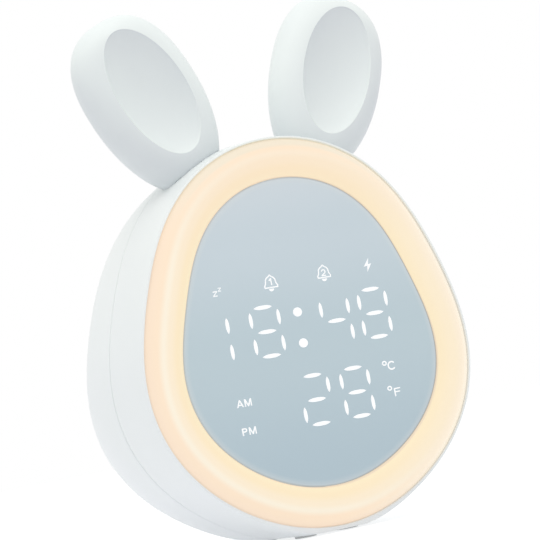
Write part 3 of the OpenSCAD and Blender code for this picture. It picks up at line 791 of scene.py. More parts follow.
FLOAT, COLOUR = "NodeSocketFloat", "NodeSocketColor"
GEOMETRY, WHOLE = "NodeSocketGeometry", "NodeSocketInt"
STUFF, THING = "NodeSocketMaterial", "NodeSocketObject"
Stops = tuple[tuple[float, Colour], ...]


class ShaderParts:
    """The shader node groups that several finishes share."""

    def __init__(self) -> None:
        """Builds every group once."""
        self.grain = self._moulded_grain()
        self.tone = self._cloudy_tone()
        self.handling = self._handling_marks()
        self.brushed = self._brushed_lines()

    def _moulded_grain(self) -> NodeTree:
        """Builds the fine spark-eroded grain of moulded plastic.

        Returns:
            The group.
        """
        tree, given, out = new_group(
            "moulded_grain", "ShaderNodeTree",
            [("Scale", FLOAT, 2200.0), ("Base Roughness", FLOAT, 0.45), ("Roughness Spread", FLOAT, 0.08)],
            [("Roughness", FLOAT), ("Height", FLOAT)])
        place = tree.place()
        fine = tree.noise(place, given["Scale"], Detail=2.0)
        broad = tree.noise(place, 60.0, Detail=3.0, Roughness=0.6)
        centred = tree.math("SUBTRACT", broad, 0.5)
        rough = tree.math("MULTIPLY_ADD", centred, given["Roughness Spread"], given["Base Roughness"])
        tree.link(rough, out["Roughness"])
        tree.link(fine, out["Height"])
        return tree.tree

    def _cloudy_tone(self) -> NodeTree:
        """Builds the faint unevenness of colour in a moulded or painted surface.

        Returns:
            The group.
        """
        tree, given, out = new_group(
            "cloudy_tone", "ShaderNodeTree",
            [("Colour", COLOUR, (1, 1, 1, 1)), ("Shade", COLOUR, (0.9, 0.9, 0.9, 1)), ("Scale", FLOAT, 25.0),
             ("Amount", FLOAT, 0.3)],
            [("Colour", COLOUR)])
        cloud = tree.noise(tree.place(), given["Scale"], Detail=4.0)
        share = tree.math("MULTIPLY", tree.spread(cloud, 0.3, 0.7), given["Amount"])
        tree.link(tree.mixed(share, given["Colour"], given["Shade"]), out["Colour"])
        return tree.tree

    def _handling_marks(self) -> NodeTree:
        """Builds faint smudges and the dust that settles on upward faces.

        Returns:
            The group.
        """
        tree, given, out = new_group(
            "handling_marks", "ShaderNodeTree",
            [("Smudge Scale", FLOAT, 40.0), ("Amount", FLOAT, 0.2)],
            [("Mask", FLOAT)])
        smudge = tree.noise(tree.place(), given["Smudge Scale"], Detail=6.0, Roughness=0.65, Distortion=0.4)
        up = tree.ways(tree.add("ShaderNodeNewGeometry").outputs["Normal"])["Z"]
        both = tree.math("MULTIPLY", tree.spread(smudge, 0.48, 0.75), tree.spread(up, 0.2, 1.0, to_low=0.35))
        tree.link(tree.math("MULTIPLY", both, given["Amount"]), out["Mask"])
        return tree.tree

    def _brushed_lines(self) -> NodeTree:
        """Builds the drawn lines of sheet metal.

        Returns:
            The group.
        """
        tree, given, out = new_group(
            "brushed_lines", "ShaderNodeTree",
            [("Scale", FLOAT, 900.0), ("Base Roughness", FLOAT, 0.3), ("Spread", FLOAT, 0.2)],
            [("Roughness", FLOAT), ("Height", FLOAT)])
        stretched = tree.add("ShaderNodeMapping", {"Vector": tree.place(), "Scale": (1.0, 1.0, 0.06)})
        lines = tree.noise(stretched.outputs[0], given["Scale"], Detail=3.0)
        rough = tree.math("MULTIPLY_ADD", lines, given["Spread"], given["Base Roughness"])
        tree.link(rough, out["Roughness"])
        tree.link(lines, out["Height"])
        return tree.tree


PARTS = ShaderParts()


def blank_material(name: str) -> tuple[Material, Tree, Node]:
    """Starts a material.

    Args:
        name: what it is the finish of.

    Returns:
        The material, its tree builder and its Principled shader.
    """
    material = bpy.data.materials.new(name + "_finish")
    material.use_nodes = True
    return material, Tree(material.node_tree), material.node_tree.nodes["Principled BSDF"]


# ---------------------------------------------------------------- finishes


@dataclass(frozen=True)
class Coat:
    """What every finish has: the record's material slot, and a way to become a material.

    `title` is the material's own name, where that isn't the slot's.
    """

    title: ClassVar[str] = ""
    slot: str

    def material(self) -> Material:
        """Returns the finish as a material."""
        material, tree, shader = blank_material(self.title or self.slot)
        self.paint(tree, shader)
        return material

    def paint(self, tree: Tree, shader: Node) -> None:
        """Leads the finish's own nodes into the Principled shader.

        Args:
            tree: the material's tree builder.
            shader: the shader.
        """
        raise NotImplementedError

    def lit(self, tree: Tree, shader: Node, colour: NodeSocket, reflected: float, emitted: float) -> None:
        """Lets a surface shine from behind in the colour that it reflects.

        Args:
            tree: the material's tree builder.
            shader: the shader.
            colour: the colour.
            reflected: share of the colour that it reflects.
            emitted: strength of its own light.
        """
        tree.link(tree.mixed(1.0, colour, (reflected,) * 3, "MULTIPLY"), shader.inputs["Base Color"])
        tree.link(colour, shader.inputs["Emission Color"])
        shader.inputs["Emission Strength"].default_value = emitted


@dataclass(frozen=True)
class MouldedPlastic(Coat):
    """Satin moulded plastic with a fine grain, a faint cloudiness and light handling marks.

    `low` is the colour near the ground, up to the heights `climb` in metres. `under` is the
    colour of faces that look down, between the shares `turn` of straight down.
    """

    colour: Colour
    shade: Colour
    low: Colour | None = None
    under: Colour | None = None
    roughness: float = 0.42
    specular: float = 0.45
    cloud: float = 0.35
    grain_scale: float = 2200.0
    grain_depth: float = 0.000012
    marks: float = 0.15
    glow: float = 0.0
    climb: Flat = (0.02, 0.11)
    turn: Flat = (-0.42, 0.42)

    def paint(self, tree: Tree, shader: Node) -> None:
        """Leads colour, roughness, grain and, on a lamp, glow into the shader.

        Args:
            tree: the material's tree builder.
            shader: the shader.
        """
        colour: object = self.colour
        if self.low:
            colour = tree.mixed(tree.spread(tree.ways(tree.place())["Z"], *self.climb), self.low, self.colour)
        if self.under:
            fall = tree.spread(tree.named("down"), *self.turn, curve="SMOOTHSTEP")
            colour = tree.mixed(fall, self.colour, self.under)
        tone = tree.group(PARTS.tone, Colour=colour, Shade=self.shade, Amount=self.cloud)["Colour"]
        soiled = tree.mixed(tree.group(PARTS.handling, Amount=self.marks)["Mask"], tone, self.shade)
        tree.link(soiled, shader.inputs["Base Color"])
        grain = tree.group(PARTS.grain, Scale=self.grain_scale, Base_Roughness=self.roughness)
        tree.link(grain["Roughness"], shader.inputs["Roughness"])
        tree.bump(shader, grain["Height"], 0.6, self.grain_depth)
        shader.inputs["Specular IOR Level"].default_value = self.specular
        if self.glow:
            tree.link(soiled, shader.inputs["Emission Color"])
            shader.inputs["Emission Strength"].default_value = self.glow


@dataclass(frozen=True)
class SheetMetal(Coat):
    """Plated or drawn metal with fine lines."""

    colour: Colour
    shade: Colour
    roughness: float = 0.28
    line_scale: float = 900.0
    line_depth: float = 0.00001

    def paint(self, tree: Tree, shader: Node) -> None:
        """Leads colour and drawn lines into the shader.

        Args:
            tree: the material's tree builder.
            shader: the shader.
        """
        tone = tree.group(PARTS.tone, Colour=self.colour, Shade=self.shade, Scale=180.0, Amount=0.5)["Colour"]
        tree.link(tone, shader.inputs["Base Color"])
        lines = tree.group(PARTS.brushed, Scale=self.line_scale, Base_Roughness=self.roughness)
        tree.link(lines["Roughness"], shader.inputs["Roughness"])
        tree.bump(shader, lines["Height"], 0.3, self.line_depth)
        shader.inputs["Metallic"].default_value = 1.0


@dataclass(frozen=True)
class CircuitBoard(Coat):
    """Solder mask over copper: traces show as slightly lighter, raised lines."""

    mask: Colour
    trace: Colour
    pitch: float = 240.0
    trace_share: float = 0.09
    trace_height: float = 0.00003

    def paint(self, tree: Tree, shader: Node) -> None:
        """Leads mask and traces into the shader.

        Args:
            tree: the material's tree builder.
            shader: the shader.
        """
        place = tree.place()
        cells = tree.add("ShaderNodeTexBrick", {
            "Vector": place, "Scale": self.pitch, "Mortar Size": self.trace_share,
            "Color1": (0, 0, 0, 1), "Color2": (0, 0, 0, 1), "Mortar": (1, 1, 1, 1)})
        kept = tree.spread(tree.noise(place, 120.0), 0.45, 0.55)
        lines = tree.math("MULTIPLY", cells.outputs["Color"], kept)
        tree.link(tree.mixed(lines, self.mask, self.trace), shader.inputs["Base Color"])
        tree.bump(shader, lines, 0.5, self.trace_height)
        shader.inputs["Roughness"].default_value = 0.32


@dataclass(frozen=True)
class RingGlow(Coat):
    """Milky diffuser, lit from behind: its colour runs across the band, from rim to window.

    The spans say where one colour gives way to the next: `rightwards`, `top_climb` and
    `crown_climb` in metres, `outer_side` as a share of the band.
    """

    title: ClassVar[str] = "ring_glow"
    slot: str = "ring_diffuser"
    reflected: float = 0.52
    emitted: float = 0.50
    stops: Stops = (
        (0.00, srgb(243, 224, 205)), (0.05, srgb(252, 230, 206)), (0.24, srgb(254, 232, 206)),
        (0.40, srgb(254, 243, 223)), (0.56, srgb(254, 238, 212)), (0.80, srgb(254, 235, 200)),
        (0.96, srgb(255, 238, 202)), (1.00, srgb(244, 224, 196)))
    right_stops: Stops = (
        (0.00, srgb(232, 222, 208)), (0.05, srgb(250, 238, 218)), (0.30, srgb(254, 239, 216)),
        (0.60, srgb(254, 238, 209)), (0.96, srgb(255, 237, 202)), (1.00, srgb(240, 222, 196)))
    top: Colour = srgb(252, 228, 200)
    crown: Colour = srgb(239, 229, 208)
    drift: float = 0.14
    rightwards: Flat = (0.0, 0.042)
    top_climb: Flat = (0.0946, 0.1346)
    crown_climb: Flat = (0.109, 0.129)
    outer_side: Flat = (0.26, 0.17)

    def paint(self, tree: Tree, shader: Node) -> None:
        """Leads the band's colours, which also differ from left to right and at the top, into the shader.

        Args:
            tree: the material's tree builder.
            shader: the shader.
        """
        across, place = tree.named("across"), tree.place()
        drift = tree.math("SUBTRACT", tree.noise(place, 16.0, Detail=1.0), 0.5)
        shifted = tree.math("MULTIPLY_ADD", drift, self.drift, across)
        ways = tree.ways(place)
        band = tree.mixed(tree.spread(ways["X"], *self.rightwards), tree.ramp(shifted, self.stops),
                          tree.ramp(shifted, self.right_stops))
        warm = tree.mixed(tree.spread(ways["Z"], *self.top_climb, to_high=0.55), band, self.top)
        outer = tree.spread(across, *self.outer_side)
        high = tree.spread(ways["Z"], *self.crown_climb, to_high=0.8)
        warm = tree.mixed(tree.math("MULTIPLY", outer, high), warm, self.crown)
        self.lit(tree, shader, warm, self.reflected, self.emitted)
        grain = tree.group(PARTS.grain, Scale=3000.0, Base_Roughness=0.34)
        tree.link(grain["Roughness"], shader.inputs["Roughness"])
        shader.inputs["Specular IOR Level"].default_value = 0.4


@dataclass(frozen=True)
class MilkyWindow(Coat):
    """Blue-grey acrylic, lighter at the top, with the light of the ring along its edge.

    `climb` and `rightwards` are in metres, `edge_span` and `rim_span` are shares of the
    way from the window's middle to its edge.
    """

    title: ClassVar[str] = "milky_window"
    slot: str = "display_lens"
    reflected: float = 0.76
    emitted: float = 0.32
    stops: Stops = (
        (0.0, srgb(175, 193, 203)), (0.45, srgb(186, 202, 209)), (0.8, srgb(198, 210, 217)),
        (1.0, srgb(206, 215, 221)))
    edge: Colour = srgb(216, 219, 219)
    rim: Colour = srgb(160, 160, 160)
    shade: Colour = srgb(184, 198, 206)
    climb: Flat = (0.0176, 0.1236)
    rightwards: Flat = (-0.02, 0.03)
    edge_span: Flat = (0.955, 0.99)
    rim_span: Flat = (0.988, 0.996)

    def paint(self, tree: Tree, shader: Node) -> None:
        """Leads the tint, the lit edge and the thin rim line into the shader.

        Args:
            tree: the material's tree builder.
            shader: the shader.
        """
        ways, across = tree.ways(tree.place()), tree.named("across")
        tint = tree.ramp(tree.spread(ways["Z"], *self.climb), self.stops)
        edged = tree.mixed(tree.spread(across, *self.edge_span, to_high=0.35), tint, self.edge)
        line = tree.math("MULTIPLY", tree.spread(across, *self.rim_span),
                         tree.spread(ways["X"], *self.rightwards, 0.25, 0.8))
        bound = tree.mixed(line, edged, self.rim)
        cloud = tree.group(PARTS.tone, Colour=bound, Shade=self.shade, Scale=30.0, Amount=0.12)["Colour"]
        self.lit(tree, shader, cloud, self.reflected, self.emitted)
        grain = tree.group(PARTS.grain, Scale=4000.0, Base_Roughness=0.5, Roughness_Spread=0.05)
        tree.link(grain["Roughness"], shader.inputs["Roughness"])
        shader.inputs["Specular IOR Level"].default_value = 0.25


@dataclass(frozen=True)
class LitMark(Coat):
    """A stroke or sign of the display, lit from behind."""

    title: ClassVar[str] = "lit_mark"
    slot: str = "digit_diffuser"
    colour: Colour = srgb(255, 255, 255)
    shade: Colour = srgb(240, 246, 250)
    emitted: float = 0.14

    def paint(self, tree: Tree, shader: Node) -> None:
        """Leads a faintly uneven white into the shader, as colour and as light.

        Args:
            tree: the material's tree builder.
            shader: the shader.
        """
        tone = tree.group(PARTS.tone, Colour=self.colour, Shade=self.shade, Scale=400.0, Amount=0.5)
        for socket in ("Base Color", "Emission Color"):
            tree.link(tone["Colour"], shader.inputs[socket])
        shader.inputs["Emission Strength"].default_value = self.emitted
        shader.inputs["Roughness"].default_value = 0.5


@dataclass(frozen=True)
class PaleFloor(Coat):
    """Matt floor, white to the camera apart from the object's shadow."""

    slot: str = "pale_floor"
    reflected: float = 0.6
    to_camera: float = 0.26
    to_object: float = 0.34

    def paint(self, tree: Tree, shader: Node) -> None:
        """Leads the floor's own light, stronger on the rays that show, into the shader.

        Args:
            tree: the material's tree builder.
            shader: the shader.
        """
        shader.inputs["Base Color"].default_value = (self.reflected,) * 3 + (1,)
        shader.inputs["Roughness"].default_value = 0.9
        shader.inputs["Specular IOR Level"].default_value = 0.0
        shader.inputs["Emission Color"].default_value = (1, 1, 1, 1)
        glow = tree.math("MULTIPLY_ADD", tree.seen(), self.to_camera, self.to_object)
        tree.link(glow, shader.inputs["Emission Strength"])


class Finish(Enum):
    """Every finish of the clock."""

    HOUSING = MouldedPlastic("housing_white", srgb(246, 250, 248), srgb(237, 243, 242),
                             low=srgb(240, 244, 248))
    PANEL = MouldedPlastic("panel_white", srgb(236, 238, 238), srgb(222, 226, 228), roughness=0.55,
                           grain_scale=1500.0, grain_depth=0.00003)
    EAR = MouldedPlastic("ear_white", srgb(243, 249, 247), srgb(237, 244, 243), under=srgb(213, 218, 223),
                         roughness=0.44)
    KEY = MouldedPlastic("key_white", srgb(240, 242, 242), srgb(224, 228, 230), roughness=0.36)
    RING = RingGlow()
    WINDOW = MilkyWindow()
    MARK = LitMark()
    WELL = MouldedPlastic("reflector_grey", srgb(150, 152, 156), srgb(128, 130, 134), roughness=0.6)
    BOARD = CircuitBoard("board_green", srgb(22, 88, 52), srgb(50, 130, 84))
    BOARD_WHITE = CircuitBoard("board_white", srgb(236, 238, 236), srgb(214, 218, 214))
    LAMP = MouldedPlastic("lamp_resin", srgb(238, 238, 226), srgb(222, 220, 200), roughness=0.2, glow=0.1)
    LAMP_WARM = MouldedPlastic("lamp_warm", srgb(250, 226, 140), srgb(244, 204, 96), roughness=0.25, glow=0.4)
    SCREW = SheetMetal("screw_steel", srgb(196, 198, 200), srgb(160, 163, 168))
    INNER = MouldedPlastic("inner_plastic", srgb(214, 214, 208), srgb(196, 196, 190), roughness=0.6)
    CHIP = MouldedPlastic("chip_resin", srgb(34, 34, 36), srgb(52, 52, 54), roughness=0.55)
    SWITCH = MouldedPlastic("switch_resin", srgb(42, 42, 46), srgb(62, 62, 66), roughness=0.5)
    SOCKET = SheetMetal("socket_steel", srgb(202, 204, 206), srgb(150, 154, 160), roughness=0.22)
    SENSOR = MouldedPlastic("sensor_resin", srgb(96, 56, 34), srgb(70, 40, 26), roughness=0.25)
    SPEAKER = MouldedPlastic("speaker_metal", srgb(64, 64, 68), srgb(48, 48, 52), roughness=0.4)
    CONE = MouldedPlastic("speaker_paper", srgb(38, 38, 40), srgb(54, 54, 56), roughness=0.8,
                          grain_scale=900.0, grain_depth=0.00006)
    MAGNET = SheetMetal("magnet_steel", srgb(176, 178, 180), srgb(140, 142, 146), roughness=0.35)
    CELL = MouldedPlastic("cell_sleeve", srgb(58, 118, 168), srgb(44, 96, 142), roughness=0.28)
    WIRE_RED = MouldedPlastic("wire_red", srgb(176, 36, 30), srgb(140, 26, 24), roughness=0.45)
    WIRE_BLACK = MouldedPlastic("wire_black", srgb(28, 28, 28), srgb(44, 44, 44), roughness=0.45)
    RIBBON = MouldedPlastic("ribbon_film", srgb(224, 224, 214), srgb(204, 202, 188), roughness=0.4)
    FOOT = MouldedPlastic("foot_rubber", srgb(214, 216, 216), srgb(198, 200, 200), roughness=0.75,
                          specular=0.25, grain_scale=1200.0, grain_depth=0.00004)

    @property
    def slot(self) -> str:
        """Returns the record's material slot."""
        return self.value.slot

    @cache
    def material(self) -> Material:
        """Returns the material, made at its first use."""
        return self.value.material()


def dress(piece: Object, finish: Finish, body: str = BODY, stands_for: Sequence[str] = ()) -> Object:
    """Gives a piece its finish, its body and the nodes that it stands for.

    Args:
        piece: the finished object.
        finish: its finish.
        body: the body that it rides on.
        stands_for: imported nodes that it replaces.

    Returns:
        The same piece.
    """
    piece.data.materials.clear()
    piece.data.materials.append(finish.material())
    finish.slot
    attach(piece, body)
    if stands_for:
        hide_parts(*stands_for)
    LOG.info("%s: %d faces on %s", piece.name, len(piece.data.polygons), body)
    return piece


# ---------------------------------------------------------------- geometry node tools


def coated(tree: Tree, last: Node, given: NodeOutputs, out: NodeInputs) -> NodeTree:
    """Ends a geometry node tree: instances made real, with the finish on them.

    Args:
        tree: the tree's builder.
        last: the node whose geometry leaves the tree.
        given: what comes into the tree, with the finish.
        out: what goes out of it.

    Returns:
        The finished tree.
    """
    real = tree.add("GeometryNodeRealizeInstances", {"Geometry": last.outputs[0]})
    coat = tree.add("GeometryNodeSetMaterial", {"Geometry": real.outputs[0], "Material": given["Finish"]})
    tree.link(coat.outputs[0], out["Geometry"])
    return tree.tree


class OutlineLoft:
    """Geometry nodes that carry a closed cross-section round the soft-triangle outline."""

    def __init__(self) -> None:
        """Builds the tree once."""
        self.group = self._build()

    def _build(self) -> NodeTree:
        """Builds the tree: a grid, bent by the outline's rule through the section's points.

        Returns:
            The tree.
        """
        tree, given, out = new_group(
            "outline_loft", "GeometryNodeTree",
            [("Section", GEOMETRY, None), ("Around", WHOLE, 288), ("Pinch", FLOAT, 0.0),
             ("Taper", FLOAT, 0.0), ("Cheek", FLOAT, 0.0), ("Outer", FLOAT, 1.0), ("Inner", FLOAT, 0.0),
             ("Finish", STUFF, None)],
            [("Geometry", GEOMETRY)])
        size = tree.add("GeometryNodeAttributeDomainSize", {"Geometry": given["Section"]})
        points = size.outputs["Point Count"]
        columns = tree.math("ADD", given["Around"], 1.0)
        lines = tree.math("ADD", points, 1.0)
        grid = tree.add("GeometryNodeMeshGrid", {"Vertices X": columns, "Vertices Y": lines})
        index = tree.add("GeometryNodeInputIndex").outputs[0]
        column = tree.math("FLOOR", tree.math("DIVIDE", tree.math("ADD", index, 0.5), lines))
        line = tree.math("SUBTRACT", index, tree.math("MULTIPLY", column, lines))
        wrapped = tree.math("FLOORED_MODULO", tree.math("ROUND", line), points)
        place = tree.add("GeometryNodeInputPosition").outputs[0]
        inputs = {"Geometry": given["Section"], "Value": place, "Index": wrapped}
        sample = tree.add("GeometryNodeSampleIndex", inputs, data_type="FLOAT_VECTOR")
        section = tree.ways(sample.outputs["Value"])
        angle = tree.math("MULTIPLY", tree.math("DIVIDE", column, given["Around"]), TAU)
        radius = section["X"]
        for label, times, sign in (("Pinch", 2.0, 1.0), ("Taper", 3.0, 1.0), ("Cheek", 5.0, -1.0)):
            wave = tree.math("MULTIPLY", tree.math("COSINE", tree.math("MULTIPLY", angle, times)), sign)
            radius = tree.math("MULTIPLY_ADD", wave, given[label], radius)
        x = tree.math("MULTIPLY", radius, tree.math("SINE", angle))
        z = tree.math("MULTIPLY", radius, tree.math("COSINE", angle))
        spot = tree.add("ShaderNodeCombineXYZ", {0: x, 1: section["Y"], 2: z})
        span = tree.math("SUBTRACT", given["Outer"], given["Inner"])
        across = tree.math("DIVIDE", tree.math("SUBTRACT", given["Outer"], section["X"]), span)
        inputs = {"Geometry": grid.outputs["Mesh"], "Name": "across", "Value": across}
        store = tree.add("GeometryNodeStoreNamedAttribute", inputs, data_type="FLOAT", domain="POINT")
        inputs = {"Geometry": store.outputs[0], "Position": spot.outputs[0]}
        bent = tree.add("GeometryNodeSetPosition", inputs)
        weld = tree.add("GeometryNodeMergeByDistance", {"Geometry": bent.outputs[0], "Distance": 1e-6})
        return coated(tree, weld, given, out)

    def carry(self, name: str, section: Sequence[Flat], outline: Outline, outer: float, inner: float,
              finish: Finish, around: int = 288) -> Object:
        """Carries a cross-section round the outline.

        Args:
            name: the piece's name.
            section: closed loop of mean radius and depth, in millimetres.
            outline: the outline to follow.
            outer: mean radius where the `across` attribute is 0.
            inner: mean radius where it is 1.
            finish: the piece's finish.
            around: columns round the outline.

        Returns:
            The finished piece, not yet on a body.
        """
        mesh = bpy.data.meshes.new(name)
        mesh.from_pydata([(r * MM, (y + DEPTH_SHIFT) * MM, 0) for r, y in section], [], [])
        values = {"Around": around, "Pinch": outline.pinch * MM, "Taper": outline.taper * MM,
                  "Cheek": outline.cheek * MM, "Outer": outer * MM, "Inner": inner * MM,
                  "Finish": finish.material()}
        whole = run_tree(linked(name, mesh), self.group, values)
        whole.transform(Matrix.Translation((0, 0, REST_HEIGHT * MM)))
        return dressed_mesh(name, whole, 50.0)


class PatternOnPoints:
    """Geometry nodes that set a copy of a part on every point, turned by the point's own angle."""

    def __init__(self) -> None:
        """Builds the tree once."""
        self.group = self._build()

    def _build(self) -> NodeTree:
        """Builds the tree: copies on points, turned, made real and given their finish.

        Returns:
            The tree.
        """
        tree, given, out = new_group(
            "pattern_on_points", "GeometryNodeTree",
            [("Places", GEOMETRY, None), ("Part", THING, None), ("Size", FLOAT, 1.0),
             ("Finish", STUFF, None)],
            [("Geometry", GEOMETRY)])
        part = tree.add("GeometryNodeObjectInfo", {"Object": given["Part"]}, transform_space="ORIGINAL")
        turn = tree.add("GeometryNodeInputNamedAttribute", {"Name": "turn"}, data_type="FLOAT")
        spin = tree.add("ShaderNodeCombineXYZ", {1: turn.outputs["Attribute"]})
        copies = tree.add("GeometryNodeInstanceOnPoints", {
            "Points": given["Places"], "Instance": part.outputs["Geometry"], "Rotation": spin.outputs[0],
            "Scale": given["Size"]})
        return coated(tree, copies, given, out)

    def repeat(self, name: str, part: Object, places: Sequence[tuple[Point, float]],
               finish: Finish) -> Mesh:
        """Repeats a part.

        Args:
            name: the mesh's name.
            part: the part, modelled about the world's origin in metres; it is removed afterwards.
            places: place in the clock's own frame and angle about the depth, in radians.
            finish: the finish of the copies.

        Returns:
            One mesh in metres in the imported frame.
        """
        mesh = bpy.data.meshes.new(name)
        mesh.from_pydata([row(p) for p, _ in places], [], [])
        turns = mesh.attributes.new("turn", "FLOAT", "POINT")
        turns.data.foreach_set("value", [angle for _, angle in places])
        whole = run_tree(linked(name, mesh), self.group, {"Part": part, "Finish": finish.material()})
        bpy.data.objects.remove(part)
        return whole


def run_tree(host: Object, group: NodeTree, values: dict[str, object]) -> Mesh:
    """Runs a geometry node tree on an object.

    Args:
        host: the object that the tree reads; it is removed afterwards.
        group: the tree.
        values: input name to value.

    Returns:
        The evaluated mesh.
    """
    modifier = host.modifiers.new("build", "NODES")
    modifier.node_group = group
    for item in group.interface.items_tree:
        if item.item_type == "SOCKET" and item.in_out == "INPUT" and item.name in values:
            modifier[item.identifier] = values[item.name]
    return baked(host)


# ---------------------------------------------------------------- sub-assemblies


@dataclass
class Housing:
    """The two white shells."""

    form: BodyForm = field(default_factory=BodyForm)
    around: int = 300
    front_rows: int = 30
    rear_rows: int = 44
    rear_crowding: float = 1.7
    wall: float = 2.2
    seam_y: float = 27.5
    seam_gap: float = 0.3
    seam_lip: float = 2.2
    floor_y: float = 9.0
    floor_t: float = 2.0
    ring_r: float = 64.0
    panel_r: float = 50.4
    panel_t: float = 1.7
    back_r: float = 30.15
    back_inner: float = 81.0
    ledge: float = 1.8
    edge: float = 0.16
    slack: float = 0.15
    seat: float = 2.0
    window_gap: float = 0.2
    lip_roll: tuple[Flat, ...] = ((0.0, 0.28), (0.05, 0.12), (0.25, 0.0))
    lip_end: float = 0.6
    channel_roll: tuple[Flat, ...] = ((0.0, 0.35), (0.07, 0.12), (0.19, 0.0))
    corner_rise: float = 1.2
    back_roll: float = 2.5
    mouth_roll: tuple[Flat, ...] = ((2.0, 0.0), (0.4, 0.0), (0.09, 0.09), (0.0, 0.4))
    inner_rows: tuple[float, ...] = (0.985, 0.93, 0.86, 0.78, 0.68, 0.57, 0.44, 0.31, 0.18, 0.0)

    def build(self) -> None:
        """Builds and dresses both shells."""
        dress(self._front(), Finish.HOUSING, stands_for=["front_shell"])
        dress(self._rear(), Finish.HOUSING, stands_for=["rear_shell"])

    def _ring(self, make: Callable[[float], Point]) -> Loop:
        """Returns one loop round the body."""
        return [make(TAU * i / self.around) for i in range(self.around)]

    def _skin(self, y: float, sink: float = 0.0) -> Loop:
        """Draws a loop on the outer skin.

        Args:
            y: its depth.
            sink: how far it lies under the skin.

        Returns:
            The loop.
        """
        loop = []
        for x, depth, z in self._ring(lambda a: self.form.point(a, y)):
            length = max(math.hypot(x, z), 1e-6)
            loop.append((x * (1 - sink / length), depth, z * (1 - sink / length)))
        return loop

    def _inner(self, y: float, wall: float) -> Loop:
        """Returns a loop of the inner wall."""
        return self._ring(lambda a: self.form.inner(a, y, wall))

    def _flat(self, mean: float, y: float) -> Loop:
        """Returns a loop of the plain outline."""
        return self._ring(lambda a: self.form.outline.point(mean, a, y))

    def _turned_edge(self, before: Loop, corner: Loop, after: Loop, steps: int = 8) -> list[Loop]:
        """Rounds the edge between two loops.

        Args:
            before: the loop where the rounding starts.
            corner: the loop that a sharp edge would follow.
            after: the loop where the rounding ends.
            steps: loops of the rounding.

        Returns:
            The loops after the first one.
        """
        out = []
        for k in range(1, steps + 1):
            t = k / steps
            u, v, w = (1 - t) ** 2, 2 * t * (1 - t), t * t
            out.append([tuple(u * a + v * b + w * c for a, b, c in zip(*trio))
                        for trio in zip(before, corner, after)])
        return out

    def _rim(self, mean: float, y: float) -> Loop:
        """Returns a loop of the opening in the back."""
        return self._ring(lambda a: self.form.back(a, mean, y))

    def _front(self) -> Object:
        """Builds the front shell, with the channel for the ring.

        Returns:
            The piece.
        """
        e, lip = self.edge, self.form.lip_y
        start, back = lip + self.lip_end, self.floor_y + self.floor_t
        tongue = self.seam_y - self.seam_lip - self.slack
        seat, window = self.panel_r - self.seat, self.panel_r - self.window_gap
        channel = self.ring_r + self.slack
        loops = [self._skin(lip + y, sink) for y, sink in self.lip_roll]
        rows = self.front_rows
        loops += [self._skin(start + (self.seam_y - start - e) * k / rows) for k in range(rows + 1)]
        loops += [self._skin(self.seam_y - e * 0.3, e * 0.3), self._skin(self.seam_y, e)]
        loops += [self._inner(self.seam_y, self.wall / 2), self._inner(tongue, self.wall / 2),
                  self._inner(tongue, self.wall), self._inner(back + self.corner_rise, self.wall)]
        loops += [self._flat(mean, y) for mean, y in (
            (self.ring_r - self.wall, back), (seat, back), (seat, self.panel_t), (window, self.panel_t),
            (window, self.floor_y), (channel, self.floor_y))]
        loops += [self._flat(channel + out, lip + y) for out, y in self.channel_roll]
        return Surface().loft(loops, closed=True).piece("front_half", 35.0)

    def _rear(self) -> Object:
        """Builds the rear shell, with the seat of the back panel.

        Returns:
            The piece.
        """
        e, form, depth = self.edge, self.form, self.form.depth
        start = self.seam_y + self.seam_gap
        span = depth - start
        loops = [self._skin(start, e), self._skin(start + e * 0.3, e * 0.3), self._skin(start + e)]
        loops += [self._skin(start + span * (1 - (1 - k / self.rear_rows) ** self.rear_crowding))
                  for k in range(1, self.rear_rows - 2)]
        rim = self._rim(form.mean(depth) - self.back_roll, depth)
        loops += self._turned_edge(loops[-1], self._skin(depth), rim)
        hole, behind = self.back_r, self.back_inner - self.ledge
        loops += [self._rim(hole + out, depth - y) for out, y in self.mouth_roll]
        loops += [self._rim(mean, y) for mean, y in (
            (hole, self.back_inner), (hole - self.ledge, self.back_inner), (hole - self.ledge, behind),
            (hole + self.wall, behind), (hole + self.wall, depth - self.wall))]
        loops += [self._inner(start + span * f, self.wall) for f in self.inner_rows]
        groove, half = self.seam_y - self.seam_lip, self.wall / 2 + self.slack
        loops += [self._inner(groove, self.wall), self._inner(groove, half), self._inner(start, half)]
        return Surface().loft(loops, closed=True).piece("rear_half", 35.0)


